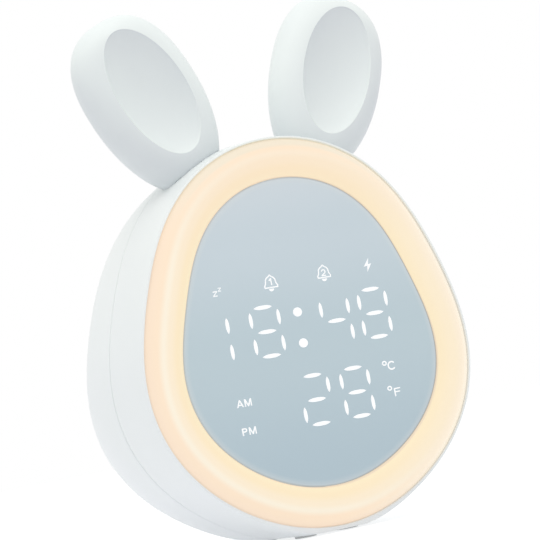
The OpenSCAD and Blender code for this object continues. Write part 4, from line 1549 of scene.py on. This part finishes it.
@dataclass
class NightLight:
    """The glowing ring round the display."""

    outline: Outline = field(default_factory=Outline)
    ring_r: float = 64.0
    inner_r: float = 50.55
    wall: float = 1.6
    crown_height: float = 2.2
    outer_drop: float = 1.9
    inner_drop: float = 0.1
    power: float = 2.2
    floor_y: float = 9.0
    steps: int = 44

    def _crown(self, t: float) -> float:
        """Returns the depth of the crown at t, 0 at the outer edge and 1 at the inner."""
        fall = self.outer_drop if t < 0.5 else self.inner_drop
        return -self.crown_height + abs(2 * t - 1) ** self.power * (self.crown_height + fall)

    def _section(self) -> list[Flat]:
        """Draws the closed cross-section: crown outside, hollow inside.

        Returns:
            Mean radius and depth of each point.
        """
        width = self.ring_r - self.inner_r
        ease = [0.5 - 0.5 * math.cos(math.pi * k / self.steps) for k in range(self.steps + 1)]
        crown = [(self.ring_r - width * t, self._crown(t)) for t in ease]
        low, high = self.inner_r + self.wall, self.ring_r - self.wall
        hollow = [low + (high - low) * k / 16 for k in range(17)]
        under = [(r, self._crown(1 - (r - self.inner_r) / width) + self.wall) for r in hollow]
        return [(self.ring_r, self.floor_y), *crown, (self.inner_r, self.floor_y), (low, self.floor_y),
                *under, (high, self.floor_y)]

    def build(self, loft: OutlineLoft) -> None:
        """Builds and dresses the ring.

        Args:
            loft: the tools that carry its section round the outline.
        """
        piece = loft.carry("glowing_ring", self._section(), self.outline, self.ring_r, self.inner_r,
                           Finish.RING)
        dress(piece, Finish.RING, stands_for=["light_ring"])


class Stroke(Enum):
    """The seven strokes of a digit: shares of half width and half height, and whether it lies flat."""

    TOP = (0, 1, True)
    MIDDLE = (0, 0, True)
    BOTTOM = (0, -1, True)
    UPPER_LEFT = (-1, 0.53, False)
    UPPER_RIGHT = (1, 0.53, False)
    LOWER_LEFT = (-1, -0.55, False)
    LOWER_RIGHT = (1, -0.55, False)


EIGHT = tuple(Stroke)
FOUR = (Stroke.MIDDLE, Stroke.UPPER_LEFT, Stroke.UPPER_RIGHT, Stroke.LOWER_RIGHT)
ONE = (Stroke.UPPER_RIGHT, Stroke.LOWER_RIGHT)
TWO = (Stroke.TOP, Stroke.MIDDLE, Stroke.BOTTOM, Stroke.UPPER_RIGHT, Stroke.LOWER_LEFT)


@dataclass
class Display:
    """The milky window and everything that is lit in it."""

    outline: Outline = field(default_factory=Outline)
    window_r: float = 50.4
    window_t: float = 1.7
    edge: float = 0.2
    around: int = 288
    window_rows: tuple[float, ...] = (0.25, 0.5, 0.75, 0.9, 0.95, 0.975, 0.99)
    digit_h: float = 16.6
    digit_w: float = 10.65
    upright: Flat = (1.36, 5.4)
    lying: Flat = (1.4, 7.1)
    proud: float = 0.05
    sunk: float = 0.45
    digits: tuple[tuple[float, float, tuple[Stroke, ...]], ...] = (
        (-34.95, 3.2, ONE), (-15.34, 3.5, EIGHT), (11.7, 3.25, FOUR), (26.95, 3.65, EIGHT),
        (-1.6, -22.05, TWO), (14.33, -22.05, EIGHT))
    colon: tuple[Flat, ...] = ((-2.6, 8.38), (-2.6, -2.32))
    dot: Flat = (1.72, 1.56)
    letters: tuple[tuple[Draw, float, float, float, float, float], ...] = (
        (Glyph.capital_a, -30.51, -18.75, 2.6, 2.5, 0.5), (Glyph.capital_m, -27.46, -18.75, 2.7, 2.5, 0.45),
        (Glyph.capital_p, -30.67, -28.25, 1.95, 2.5, 0.5), (Glyph.capital_m, -27.7, -28.25, 2.75, 2.5, 0.45),
        (Glyph.capital_c, 29.54, -15.23, 3.2, 3.1, 0.5), (Glyph.capital_f, 29.88, -24.55, 2.55, 2.88, 0.5),
        (Glyph.figure_one, -10.65, 20.0, 1.05, 2.4, 0.42), (Glyph.figure_two, 10.1, 20.2, 1.8, 2.4, 0.42))
    degrees: tuple[Flat, ...] = ((26.85, -14.12), (27.08, -22.92))
    degree: tuple[Flat, Flat] = ((0.96, 0.86), (0.5, 0.4))
    bells: tuple[Flat, ...] = ((-10.6, 20.2), (10.15, 20.7))
    bell_line: float = 0.42
    bell_half: tuple[Flat, ...] = (
        (0.0, 1.8), (0.5, 1.38), (1.15, 1.02), (1.56, 0.5), (1.69, -0.2), (1.82, -0.9), (2.28, -1.65),
        (2.24, -1.95))
    clapper: tuple[float, float, float, float] = (-0.1, -2.62, 1.0, 0.85)
    zeds: tuple[tuple[float, float, float], ...] = ((-31.9, 18.87, 1.85), (-30.05, 20.1, 1.28))
    zed_half: tuple[Flat, ...] = ((-0.42, 0.5), (0.5, 0.5), (0.46, 0.3), (-0.22, -0.3), (0.42, -0.3))
    bolt: tuple[Flat, ...] = (
        (28.5, 22.8), (26.15, 19.95), (27.6, 20.15), (27.2, 18.0), (29.25, 20.75), (27.95, 20.6))

    def build(self, pattern: PatternOnPoints) -> None:
        """Builds and dresses the window, the digits and the signs.

        Args:
            pattern: the tools that repeat a digit's stroke.
        """
        dress(self._window(), Finish.WINDOW, stands_for=["display_panel"])
        dress(self._digits(pattern), Finish.MARK)
        dress(self._signs(), Finish.MARK)

    def _window(self) -> Object:
        """Builds the window with a softened edge and its `across` attribute.

        Returns:
            The piece.
        """
        count, e = self.around, self.edge
        rings = [(self.window_r * f, 0.0) for f in self.window_rows]
        rings += [(self.window_r - e, 0.0), (self.window_r - e * 0.3, e * 0.3), (self.window_r, e),
                  (self.window_r, self.window_t)]
        surface = Surface()
        surface.loft([[self._spot(mean, TAU * j / count, y) for j in range(count)]
                      for mean, y in rings], end=True)
        surface.pole(0, count, (0.0, 0.0, 0.0))
        piece = surface.piece("display_window", 50.0)
        across = piece.data.attributes.new("across", "FLOAT", "POINT")
        values = []
        for v in piece.data.vertices:
            x, z = v.co.x / MM, v.co.z / MM - REST_HEIGHT
            values.append(math.hypot(x, z) / self.outline.radius(self.window_r, math.atan2(x, z)))
        across.data.foreach_set("value", values)
        return piece

    def _spot(self, mean: float, a: float, y: float) -> Point:
        """Returns a point of a ring that is a scaled copy of the window's outline."""
        r = self.outline.radius(self.window_r, a) * mean / self.window_r
        return (r * math.sin(a), y, r * math.cos(a))

    def _stroke_part(self, width: float, length: float) -> Object:
        """Builds one upright stroke about the world's origin: even sides and pointed ends.

        Args:
            width: width at the middle.
            length: length from point to point.

        Returns:
            The part.
        """
        rise = [math.sin(math.pi / 2 * (k / 7 - 1)) for k in range(14)]
        half = [(width / 2 * (1 - abs(u) ** 3), u * length / 2) for u in rise]
        half += [(-x, -z) for x, z in half]
        verts = [(x, y, z) for y in (-self.proud, self.sunk) for x, z in half]
        n = len(half)
        faces = [(j, (j + 1) % n, n + (j + 1) % n, n + j) for j in range(n)]
        faces += [tuple(range(n)), tuple(reversed(range(n, 2 * n)))]
        return loose_part("stroke", verts, faces)

    def _digits(self, pattern: PatternOnPoints) -> Object:
        """Builds the time, the temperature and the colon.

        Args:
            pattern: the tools that repeat a stroke.

        Returns:
            The piece.
        """
        uprights, lying = [], []
        for x, z, strokes in self.digits:
            for across, up, flat in (stroke.value for stroke in strokes):
                place = (x + across * self.digit_w / 2, 0.0, z + up * self.digit_h / 2)
                (lying if flat else uprights).append((place, math.pi / 2 if flat else 0.0))
        meshes = [pattern.repeat("uprights", self._stroke_part(*self.upright), uprights, Finish.MARK),
                  pattern.repeat("flats", self._stroke_part(*self.lying), lying, Finish.MARK)]
        meshes += [self._shape([ellipse(x, z, *self.dot)]) for x, z in self.colon]
        return joined("display_digits", meshes, 30.0)

    def _signs(self) -> Object:
        """Builds the small signs: half of day, degrees, alarms, sleep and charge.

        Returns:
            The piece.
        """
        shapes = [[[(x - w / 2 + px, z - h / 2 + pz) for px, pz in loop] for loop in draw(Glyph(w, h, stem))]
                  for draw, x, z, w, h, stem in self.letters]
        shapes += [[ellipse(x, z, *radii, 32) for radii in self.degree] for x, z in self.degrees]
        dx, dz, wide, high = self.clapper
        for x, z in self.bells:
            shapes.append([self._bell(x, z, 0.0), self._bell(x, z, self.bell_line)])
            shapes.append([arc((x + dx, z + dz), (wide, high), 180, 360, 13)])
        shapes += [[self._zed(*zed)] for zed in self.zeds]
        shapes.append([self.bolt])
        return joined("display_signs", [self._shape(shape) for shape in shapes], 30.0)

    def _bell(self, x: float, z: float, inset: float) -> list[Flat]:
        """Draws a bell's outline.

        Args:
            x: place across.
            z: place up.
            inset: how far inside the outline the line is drawn.

        Returns:
            The points.
        """
        loop = [*self.bell_half, *((-px, pz) for px, pz in reversed(self.bell_half[1:]))]
        drawn = []
        for before, p, after in zip(loop[-1:] + loop, loop, loop[1:] + loop[:1]):
            first = Vector((p[0] - before[0], p[1] - before[1])).normalized()
            second = Vector((after[0] - p[0], after[1] - p[1])).normalized()
            inwards = Vector((first.y + second.y, -first.x - second.x)).normalized() * -inset
            share = max(abs(first.cross(inwards.normalized())) if inset else 1.0, 0.5)
            drawn.append((x + p[0] + inwards.x / share, z + p[1] + inwards.y / share))
        return drawn

    def _zed(self, x: float, z: float, size: float) -> list[Flat]:
        """Draws a letter Z.

        Args:
            x: place across.
            z: place up.
            size: its height.

        Returns:
            The points.
        """
        whole = [*self.zed_half, *((-px, -pz) for px, pz in self.zed_half)]
        return [(x + px * size, z + pz * size) for px, pz in whole]

    def _shape(self, loops: Sequence[Sequence[Flat]]) -> Mesh:
        """Returns a flat lit shape in the window's front."""
        return cut_sheet("sign", loops, -self.proud, self.sunk, 0.0)


@dataclass
class Ears:
    """The two dished ears, whose roots follow the body's skin."""

    form: BodyForm = field(default_factory=BodyForm)
    centre: Point = (36.003, 9.2, 90.609)
    splay: float = math.radians(23.7)
    lean: float = math.radians(3.0)
    half_w: float = 20.8
    tip: float = 29.2
    root: float = 36.6
    front: float = 8.4
    back: float = 15.6
    dish_w: float = 12.95
    dish_l: float = 23.6
    dish_depth: float = 6.0
    dish_curve: float = 0.8
    tip_curve: float = 0.8
    back_curve: float = 0.95
    gap: float = -0.1
    corner_between: Flat = (math.radians(60), math.radians(150))
    highest_lift: float = 16.0
    halvings: int = 24
    arc_cols: int = 150
    base_cols: int = 26
    front_rows: int = 20
    back_rows: int = 24
    rim: float = 0.03
    rim_depths: tuple[float, float, float] = (0.16, 0.05, 0.09)
    tilt: float = math.radians(20.0)
    dish_corner: float = math.radians(140.0)
    dish_rows: tuple[float, ...] = (0.08, 0.2, 0.33, 0.46, 0.58, 0.68, 0.77, 0.84, 0.9, 0.94, 0.965, 0.982)
    dish_tone: float = 0.45

    def build(self) -> None:
        """Builds and dresses both ears."""
        right = self._points()
        for name, side, node in (("left_ear", -1, "ear_left"), ("right_ear", 1, "ear_right")):
            surface = Surface()
            loops = [[(side * p[0], p[1], p[2]) for p in loop] for loop in right]
            surface.loft(loops)
            count = len(loops[0])
            dish = len(self.dish_rows) * count
            first = self._world((0, self.dish_depth, 0))
            last = self._world((0, self.front + self.back, 0))
            surface.pole(0, count, (side * first[0], first[1], first[2]))
            surface.pole((len(loops) - 1) * count, count, (side * last[0], last[1], last[2]))
            piece = surface.piece(name, 60.0)
            down = piece.data.attributes.new("down", "FLOAT", "POINT")
            down.data.foreach_set("value", [-v.normal.z * (self.dish_tone if k < dish else 1.0)
                                            for k, v in enumerate(piece.data.vertices)])
            dress(piece, Finish.EAR, stands_for=[node])

    def _world(self, p: Sequence[float]) -> Point:
        """Carries a point out of the ear's own frame.

        Args:
            p: the point: across, deep and up along the ear.

        Returns:
            The point in the clock's frame.
        """
        s, k = self.splay, self.lean
        up = Vector((math.sin(s) * math.cos(k), math.sin(k), math.cos(s) * math.cos(k)))
        side = Vector((math.cos(s), 0, -math.sin(s)))
        deep = up.cross(side)
        q = Vector(self.centre) + p[0] * side + p[1] * deep + p[2] * up
        return (q.x, q.y, q.z)

    def _inside(self, p: Sequence[float]) -> bool:
        """Returns whether a point of the ear's frame lies in the body."""
        return self.form.holds(self._world(p), self.gap)

    def _dish(self, a: float) -> Flat:
        """Returns the dish's edge at angle a from the tip."""
        return (self.dish_w * math.sin(a), self.dish_l * math.cos(a))

    def _full(self, a: float, k: float) -> Flat:
        """Finds a point of the ear's outline, rounder above than below.

        Args:
            a: angle from the tip.
            k: scale of the section.

        Returns:
            The point, across and up.
        """
        s, c = math.sin(a), math.cos(a)
        if c > 0:
            bend = self.tip_curve
            return (k * self.half_w * math.copysign(abs(s) ** bend, s), k * self.tip * c ** bend)
        return (k * self.half_w * s, k ** 0.5 * self.root * c)

    def _row_point(self, share: float, depth: float, k: float, a: float) -> Point:
        """Finds a point between the dish's edge and the outline.

        Args:
            share: how far towards the outline.
            depth: depth in the ear.
            k: scale of the outline.
            a: angle from the tip.

        Returns:
            The point in the ear's frame.
        """
        d, f = self._dish(a), self._full(a, k)
        return (d[0] + (f[0] - d[0]) * share, depth, d[1] + (f[1] - d[1]) * share)

    def _corner(self, row_at: tuple[float, float, float], side: int) -> float:
        """Finds where a row dips into the body.

        Args:
            row_at: share, depth and scale of the row.
            side: 1 to the right of the tip, -1 to the left.

        Returns:
            The angle from the tip.
        """
        low, high = self.corner_between
        for _ in range(self.halvings):
            mid = (low + high) / 2
            if self._inside(self._row_point(*row_at, side * mid)):
                high = mid
            else:
                low = mid
        return low

    def _lifted(self, p: Point) -> Point:
        """Raises a point out of the body if it lies in it.

        Args:
            p: the point in the ear's frame.

        Returns:
            The point on or above the body's skin.
        """
        if not self._inside(p):
            return p
        low, high = 0.0, self.highest_lift
        for _ in range(self.halvings):
            mid = (low + high) / 2
            if self._inside((p[0], p[1], p[2] + mid)):
                low = mid
            else:
                high = mid
        return (p[0], p[1], p[2] + high)

    def _angles(self, left: float, right: float) -> list[float]:
        """Spaces the columns, with one on each corner.

        Args:
            left: angle of the left corner.
            right: angle of the right corner.

        Returns:
            The columns' angles.
        """
        over = [-left + (left + right) * j / (self.arc_cols - 1) for j in range(self.arc_cols)]
        rest = TAU - left - right
        return over + [right + rest * j / (self.base_cols + 1) for j in range(1, self.base_cols + 1)]

    def _points(self) -> list[Loop]:
        """Builds the right ear's loops, from the dish's centre to the middle of the back.

        Returns:
            The loops in the clock's frame.
        """
        loops = []
        edge = [self._dish(a) for a in self._angles(self.dish_corner, self.dish_corner)]
        for t in self.dish_rows:
            deep = self.dish_depth * (1 - t * t) ** self.dish_curve
            loops.append([self._world((x * t, deep, z * t)) for x, z in edge])
        shares = (0.0, self.rim * 0.35, self.rim)
        rows = [(share, depth, 1.0) for share, depth in zip(shares, self.rim_depths)]
        flat, low, front, back = math.cos(self.tilt), math.sin(self.tilt), self.front_rows, self.back_rows
        turns = [self.tilt + (math.pi / 2 - self.tilt) * k / front for k in range(2, front + 1)]
        rows += [((math.sin(b) - low) / (1 - low), self.front * (1 - math.cos(b) / flat), 1.0) for b in turns]
        turns = [math.radians(88 * k / back) for k in range(1, back + 1)]
        rows += [(1.0, self.front + self.back * math.sin(g) ** self.back_curve, math.cos(g)) for g in turns]
        for at in rows:
            angles = self._angles(self._corner(at, -1), self._corner(at, 1))
            loops.append([self._world(self._lifted(self._row_point(*at, a))) for a in angles])
        return loops


@dataclass
class BackPanel:
    """The recessed panel with its keys, sound holes, port and screws."""

    form: BodyForm = field(default_factory=BodyForm)
    panel_r: float = 30.0
    face: float = 83.2
    thick: float = 2.2
    edge: float = 0.14
    keys: tuple[str, ...] = ("key_set", "key_up", "key_down", "key_alarm", "key_light")
    key_r: float = 3.4
    key_gap: float = 0.2
    key_pitch: float = 9.4
    key_proud: float = 1.4
    key_edge: float = 0.25
    key_inset: float = 1.0
    key_dish: float = 0.12
    key_round: Flat = (0.45, 0.6)
    key_stem_r: float = 1.6
    flange_r: float = 4.1
    flange_t: float = 1.0
    flange_gap: float = 0.15
    switch_stack: float = 4.6
    port: Flat = (12.4, 6.8)
    port_down: float = 17.0
    pin_r: float = 0.7
    pins: tuple[float, ...] = (12.0, -14.5, -12.5, -10.5)
    sound_r: float = 0.8
    sound_pitch: float = 2.7
    grille_r: float = 9.2
    speaker_up: float = 17.0
    speaker_r: float = 11.15
    collar_t: float = 1.3
    collar_h: float = 6.0
    post_r: float = 2.4
    post_h: float = 6.5
    post_places: tuple[Flat, ...] = ((-20, -8), (20, -8), (-8, -22), (8, -22))
    post_split: float = 54.0
    web: float = 3.0
    screw_hole_r: float = 1.2
    well_r: float = 2.3
    tube_r: float = 3.0
    bite: float = 0.2
    screw_across: float = 18.5
    screw_up: Flat = (15, -16)
    screw: tuple[Flat, ...] = (
        (0.0, 1.3), (1.0, 1.24), (1.6, 1.0), (1.93, 0.6), (2.0, 0.25), (2.0, 0.0), (1.1, 0.0), (1.1, -14.6),
        (0.5, -15.0), (0.0, -15.0))
    recess: Flat = (1.25, 0.26)
    recess_y: Flat = (0.45, 2.0)
    first_turn: float = 0.35
    next_turn: float = 0.5

    @property
    def centre_z(self) -> float:
        """Returns the height of the panel's centre."""
        return self.form.axis(self.form.depth)

    @property
    def inner(self) -> float:
        """Returns the depth of the panel's inner face."""
        return self.face - self.thick

    @property
    def screws(self) -> list[Flat]:
        """Returns the places of the four housing screws."""
        return [(side * self.screw_across, self.centre_z + up) for up in self.screw_up for side in (-1, 1)]

    @property
    def key_places(self) -> list[float]:
        """Returns the places of the keys across."""
        middle = (len(self.keys) - 1) / 2
        return [(i - middle) * self.key_pitch for i in range(len(self.keys))]

    def build(self, pattern: PatternOnPoints) -> None:
        """Builds and dresses the panel, its screws and its keys.

        Args:
            pattern: the tools that repeat the screw.
        """
        dress(self._panel(), Finish.PANEL, stands_for=["back_panel"])
        dress(self._screws(pattern), Finish.SCREW, stands_for=["housing_screws"])
        for node, x in zip(self.keys, self.key_places):
            dress(self._key(node, x), Finish.KEY, body=node, stands_for=[node])

    def _holes(self) -> Loops:
        """Draws the holes for keys, screws, sound, port and pins.

        Returns:
            One loop for each hole.
        """
        z = self.centre_z
        low, speaker = z - self.port_down, z + self.speaker_up
        holes = [circle(x, z, self.key_r + self.key_gap, 48) for x in self.key_places]
        holes += [circle(x, up, self.well_r, 36) for x, up in self.screws]
        holes.append(circle(0, speaker, self.sound_r, 14))
        for k in range(1, int((self.grille_r - self.sound_r) / self.sound_pitch) + 1):
            for i in range(6 * k):
                a, reach = math.radians(60 * i / k), k * self.sound_pitch
                x, up = reach * math.sin(a), speaker + reach * math.cos(a)
                holes.append(circle(x, up, self.sound_r, 14))
        holes.append(stadium(0, low, *self.port))
        return holes + [circle(x, low, self.pin_r, 14) for x in self.pins]

    def _panel(self) -> Object:
        """Builds the panel: a cut sheet with tubes, posts and the speaker's collar behind it.

        Returns:
            The piece.
        """
        scale, inner = self.panel_r / self.form.mean_radius, self.inner
        outline = [(x * scale, self.centre_z + up * scale)
                   for x, up in self.form.outline.flat(self.form.mean_radius, 160)]
        sheet = cut_sheet("back_sheet", [outline, *self._holes()], inner, self.face, self.edge)
        tubes, top, low = Surface(), inner + self.bite, self.post_split
        hole, well, tube = self.screw_hole_r, self.well_r, self.tube_r
        for x, up in self.screws:
            tubes.turned([(hole, low), (tube, low), (tube, top), (well, top), (well, low + self.web),
                          (hole, low + self.web)], (x, up), closed=True)
        narrow, wide, end = self.speaker_r, self.speaker_r + self.collar_t, inner - self.collar_h
        tubes.turned([(narrow, end), (wide, end), (wide, top), (narrow, top)],
                     (0, self.centre_z + self.speaker_up), closed=True)
        for x, up in self.post_places:
            tubes.turned([(self.post_r, inner - self.post_h), (self.post_r, top)], (x, self.centre_z + up),
                         count=32)
        return joined("rear_panel", [sheet, mesh_of(tubes.piece("tubes"))], 35.0)

    def _screws(self, pattern: PatternOnPoints) -> Object:
        """Builds one pan-head screw with a cross recess and sets it in the four wells.

        Args:
            pattern: the tools that repeat the screw.

        Returns:
            The piece.
        """
        head, cross = Surface().turned(self.screw, (0, 0), count=40), Surface()
        for w, h in (self.recess, self.recess[::-1]):
            slot = [(-w, -h), (w, -h), (w, h), (-w, h)]
            cross.loft([[(x, y, u) for x, u in slot] for y in self.recess_y], start=True, end=True)
        solid = loose_part("head", head.verts, head.faces)
        tool = loose_part("cross", cross.verts, cross.faces)
        cut = solid.modifiers.new("recess", "BOOLEAN")
        cut.operation, cut.object, cut.solver, cut.use_self = "DIFFERENCE", tool, "EXACT", True
        part = linked("screw", baked(solid))
        bpy.data.objects.remove(tool)
        seat = self.post_split + self.web
        places = [((x, seat, z), self.first_turn + self.next_turn * i)
                  for i, (x, z) in enumerate(self.screws)]
        return joined("well_screws", [pattern.repeat("screws", part, places, Finish.SCREW)], 35.0)

    def _key(self, name: str, x: float) -> Object:
        """Builds one key: stem, flange and a softly dished cap.

        Args:
            name: the key's node.
            x: its place across.

        Returns:
            The piece.
        """
        top, flange = self.face + self.key_proud, self.inner - self.flange_gap
        foot, under = self.inner - self.post_h + self.switch_stack, flange - self.flange_t
        cap = rounded([(self.key_r, flange), (self.key_r, top - self.key_edge),
                       (self.key_r - self.key_inset, top), (0.0, top - self.key_dish)], self.key_round, 6)
        profile = [(0.0, foot), (self.key_stem_r, foot), (self.key_stem_r, under), (self.flange_r, under),
                   (self.flange_r, flange), *cap]
        return Surface().turned(profile, (x, self.centre_z), count=72).piece(name + "_cap", 35.0)


@dataclass
class Feet:
    """Four rubber feet under the flat underside."""

    base: float = 66.8
    proud: float = 0.8
    sunk: float = 0.5
    radius: float = 3.8
    across: float = 8.2
    depths: Flat = (14.5, 44.0)
    edges: Flat = (0.3, 0.1)

    def build(self) -> None:
        """Builds and dresses the feet as one piece."""
        low, high = -self.base - self.proud, -self.base + self.sunk
        profile = rounded([(0.0, low), (self.radius, low), (self.radius, high), (0.0, high)], self.edges)
        surface = Surface()
        for x in (-self.across, self.across):
            for y in self.depths:
                surface.turned(profile, (x, y), count=56, upright=True)
        dress(surface.piece("rubber_feet", 35.0), Finish.FOOT, stands_for=["feet"])


class InnerWorks:
    """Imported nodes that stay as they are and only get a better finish."""

    def build(self, nodes: dict[str, Object], slots: dict[str, str]) -> None:
        """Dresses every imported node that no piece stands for.

        Args:
            nodes: node name to object.
            slots: node name to material slot.
        """
        by_slot = {finish.slot: finish for finish in Finish}
        for name, node in sorted(nodes.items()):
            if node.hide_render:
                continue
            node.data.materials.clear()
            node.data.materials.append(by_slot[slots[name]].material())
            LOG.info("%s: packed shape, finish %s", name, slots[name])


# ---------------------------------------------------------------- studio


@dataclass
class Studio:
    """Pale floor, soft lamp and the camera, with lengths in metres and the sensor in millimetres."""

    azimuth: float = math.radians(-28.0)
    elevation: float = math.radians(-1.9)
    roll: float = math.radians(10.9)
    distance: float = 0.85
    focal_px: float = 2500.0
    frame_px: float = 540.0
    sensor: float = 36.0
    sight: Flat = (0.01, 20.0)
    centre_px: Flat = (308.8, 335.0)
    ambient: float = 0.46
    from_above: float = 0.7
    floor_half: float = 6.0
    lamp_place: Point = (-0.25, -0.4, 1.15)
    lamp_aim: Point = (0.0, 0.0, 0.09)
    lamp_size: float = 1.1
    lamp_power: float = 2.3

    def build(self) -> None:
        """Builds the floor, the world, the lamp and the camera."""
        self._floor()
        self._world()
        self._lamp()
        self._camera()

    def _camera(self) -> None:
        """Sets the camera at the object's view, rolled in its own plane."""
        a, e, roll = self.azimuth, self.elevation, self.roll
        right = Vector((math.cos(a), math.sin(a), 0))
        up = Vector((-math.sin(a) * math.sin(e), math.cos(a) * math.sin(e), math.cos(e)))
        ahead = Vector((-math.sin(a) * math.cos(e), math.cos(a) * math.cos(e), -math.sin(e)))
        across = right * math.cos(roll) - up * math.sin(roll)
        above = right * math.sin(roll) + up * math.cos(roll)
        data = bpy.data.cameras.new("view")
        data.sensor_width = self.sensor
        data.lens = self.focal_px / self.frame_px * data.sensor_width
        data.shift_x = 0.5 - self.centre_px[0] / self.frame_px
        data.shift_y = self.centre_px[1] / self.frame_px - 0.5
        data.clip_start, data.clip_end = self.sight
        camera = linked("view", data)
        place = Matrix.Translation(row((0, 0, 0)) - ahead * self.distance)
        camera.matrix_world = place @ Matrix((across, above, -ahead)).transposed().to_4x4()
        bpy.context.scene.camera = camera

    def _floor(self) -> None:
        """Builds the floor, white to the camera apart from the object's shadow."""
        h = self.floor_half
        mesh = bpy.data.meshes.new("floor")
        mesh.from_pydata([(-h, -h, 0), (h, -h, 0), (h, h, 0), (-h, h, 0)], [], [(0, 1, 2, 3)])
        mesh.materials.append(PaleFloor().material())
        linked("floor", mesh)

    def _world(self) -> None:
        """Lights the scene softly, more from above, and shows as white behind the object."""
        world = bpy.data.worlds.new("room")
        world.use_nodes = True
        tree, ground = Tree(world.node_tree), world.node_tree.nodes["Background"]
        seen = tree.seen()
        up = tree.ways(tree.add("ShaderNodeTexCoord").outputs["Generated"])["Z"]
        soft = tree.math("MULTIPLY_ADD", tree.math("MAXIMUM", up, 0.0), self.from_above, self.ambient)
        unseen = tree.math("MULTIPLY", tree.math("SUBTRACT", 1.0, seen), soft)
        tree.link(tree.math("ADD", unseen, seen), ground.inputs["Strength"])
        ground.inputs["Color"].default_value = (1.0, 1.0, 1.0, 1)
        bpy.context.scene.world = world

    def _lamp(self) -> None:
        """Hangs one large soft lamp above the clock."""
        data = bpy.data.lights.new("key", "AREA")
        data.shape, data.size, data.energy = "DISK", self.lamp_size, self.lamp_power
        place = Vector(self.lamp_place)
        turn = (Vector(self.lamp_aim) - place).to_track_quat("-Z", "Y").to_matrix().to_4x4()
        linked("key", data).matrix_world = Matrix.Translation(place) @ turn


def main() -> None:
    """Builds the clock in order."""
    logging.basicConfig(level=logging.INFO, format="%(name)s %(message)s")
    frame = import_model()
    bpy.context.scene.view_settings.view_transform = "Standard"
    Studio().build()
    loft, pattern = OutlineLoft(), PatternOnPoints()
    Housing().build()
    NightLight().build(loft)
    Display().build(pattern)
    Ears().build()
    BackPanel().build(pattern)
    Feet().build()
    slots = {part["node"]: part["material_slot"] for part in frame["record"]["subparts"]}
    InnerWorks().build(frame["nodes"], slots)


if __name__ == "__main__":
    main()
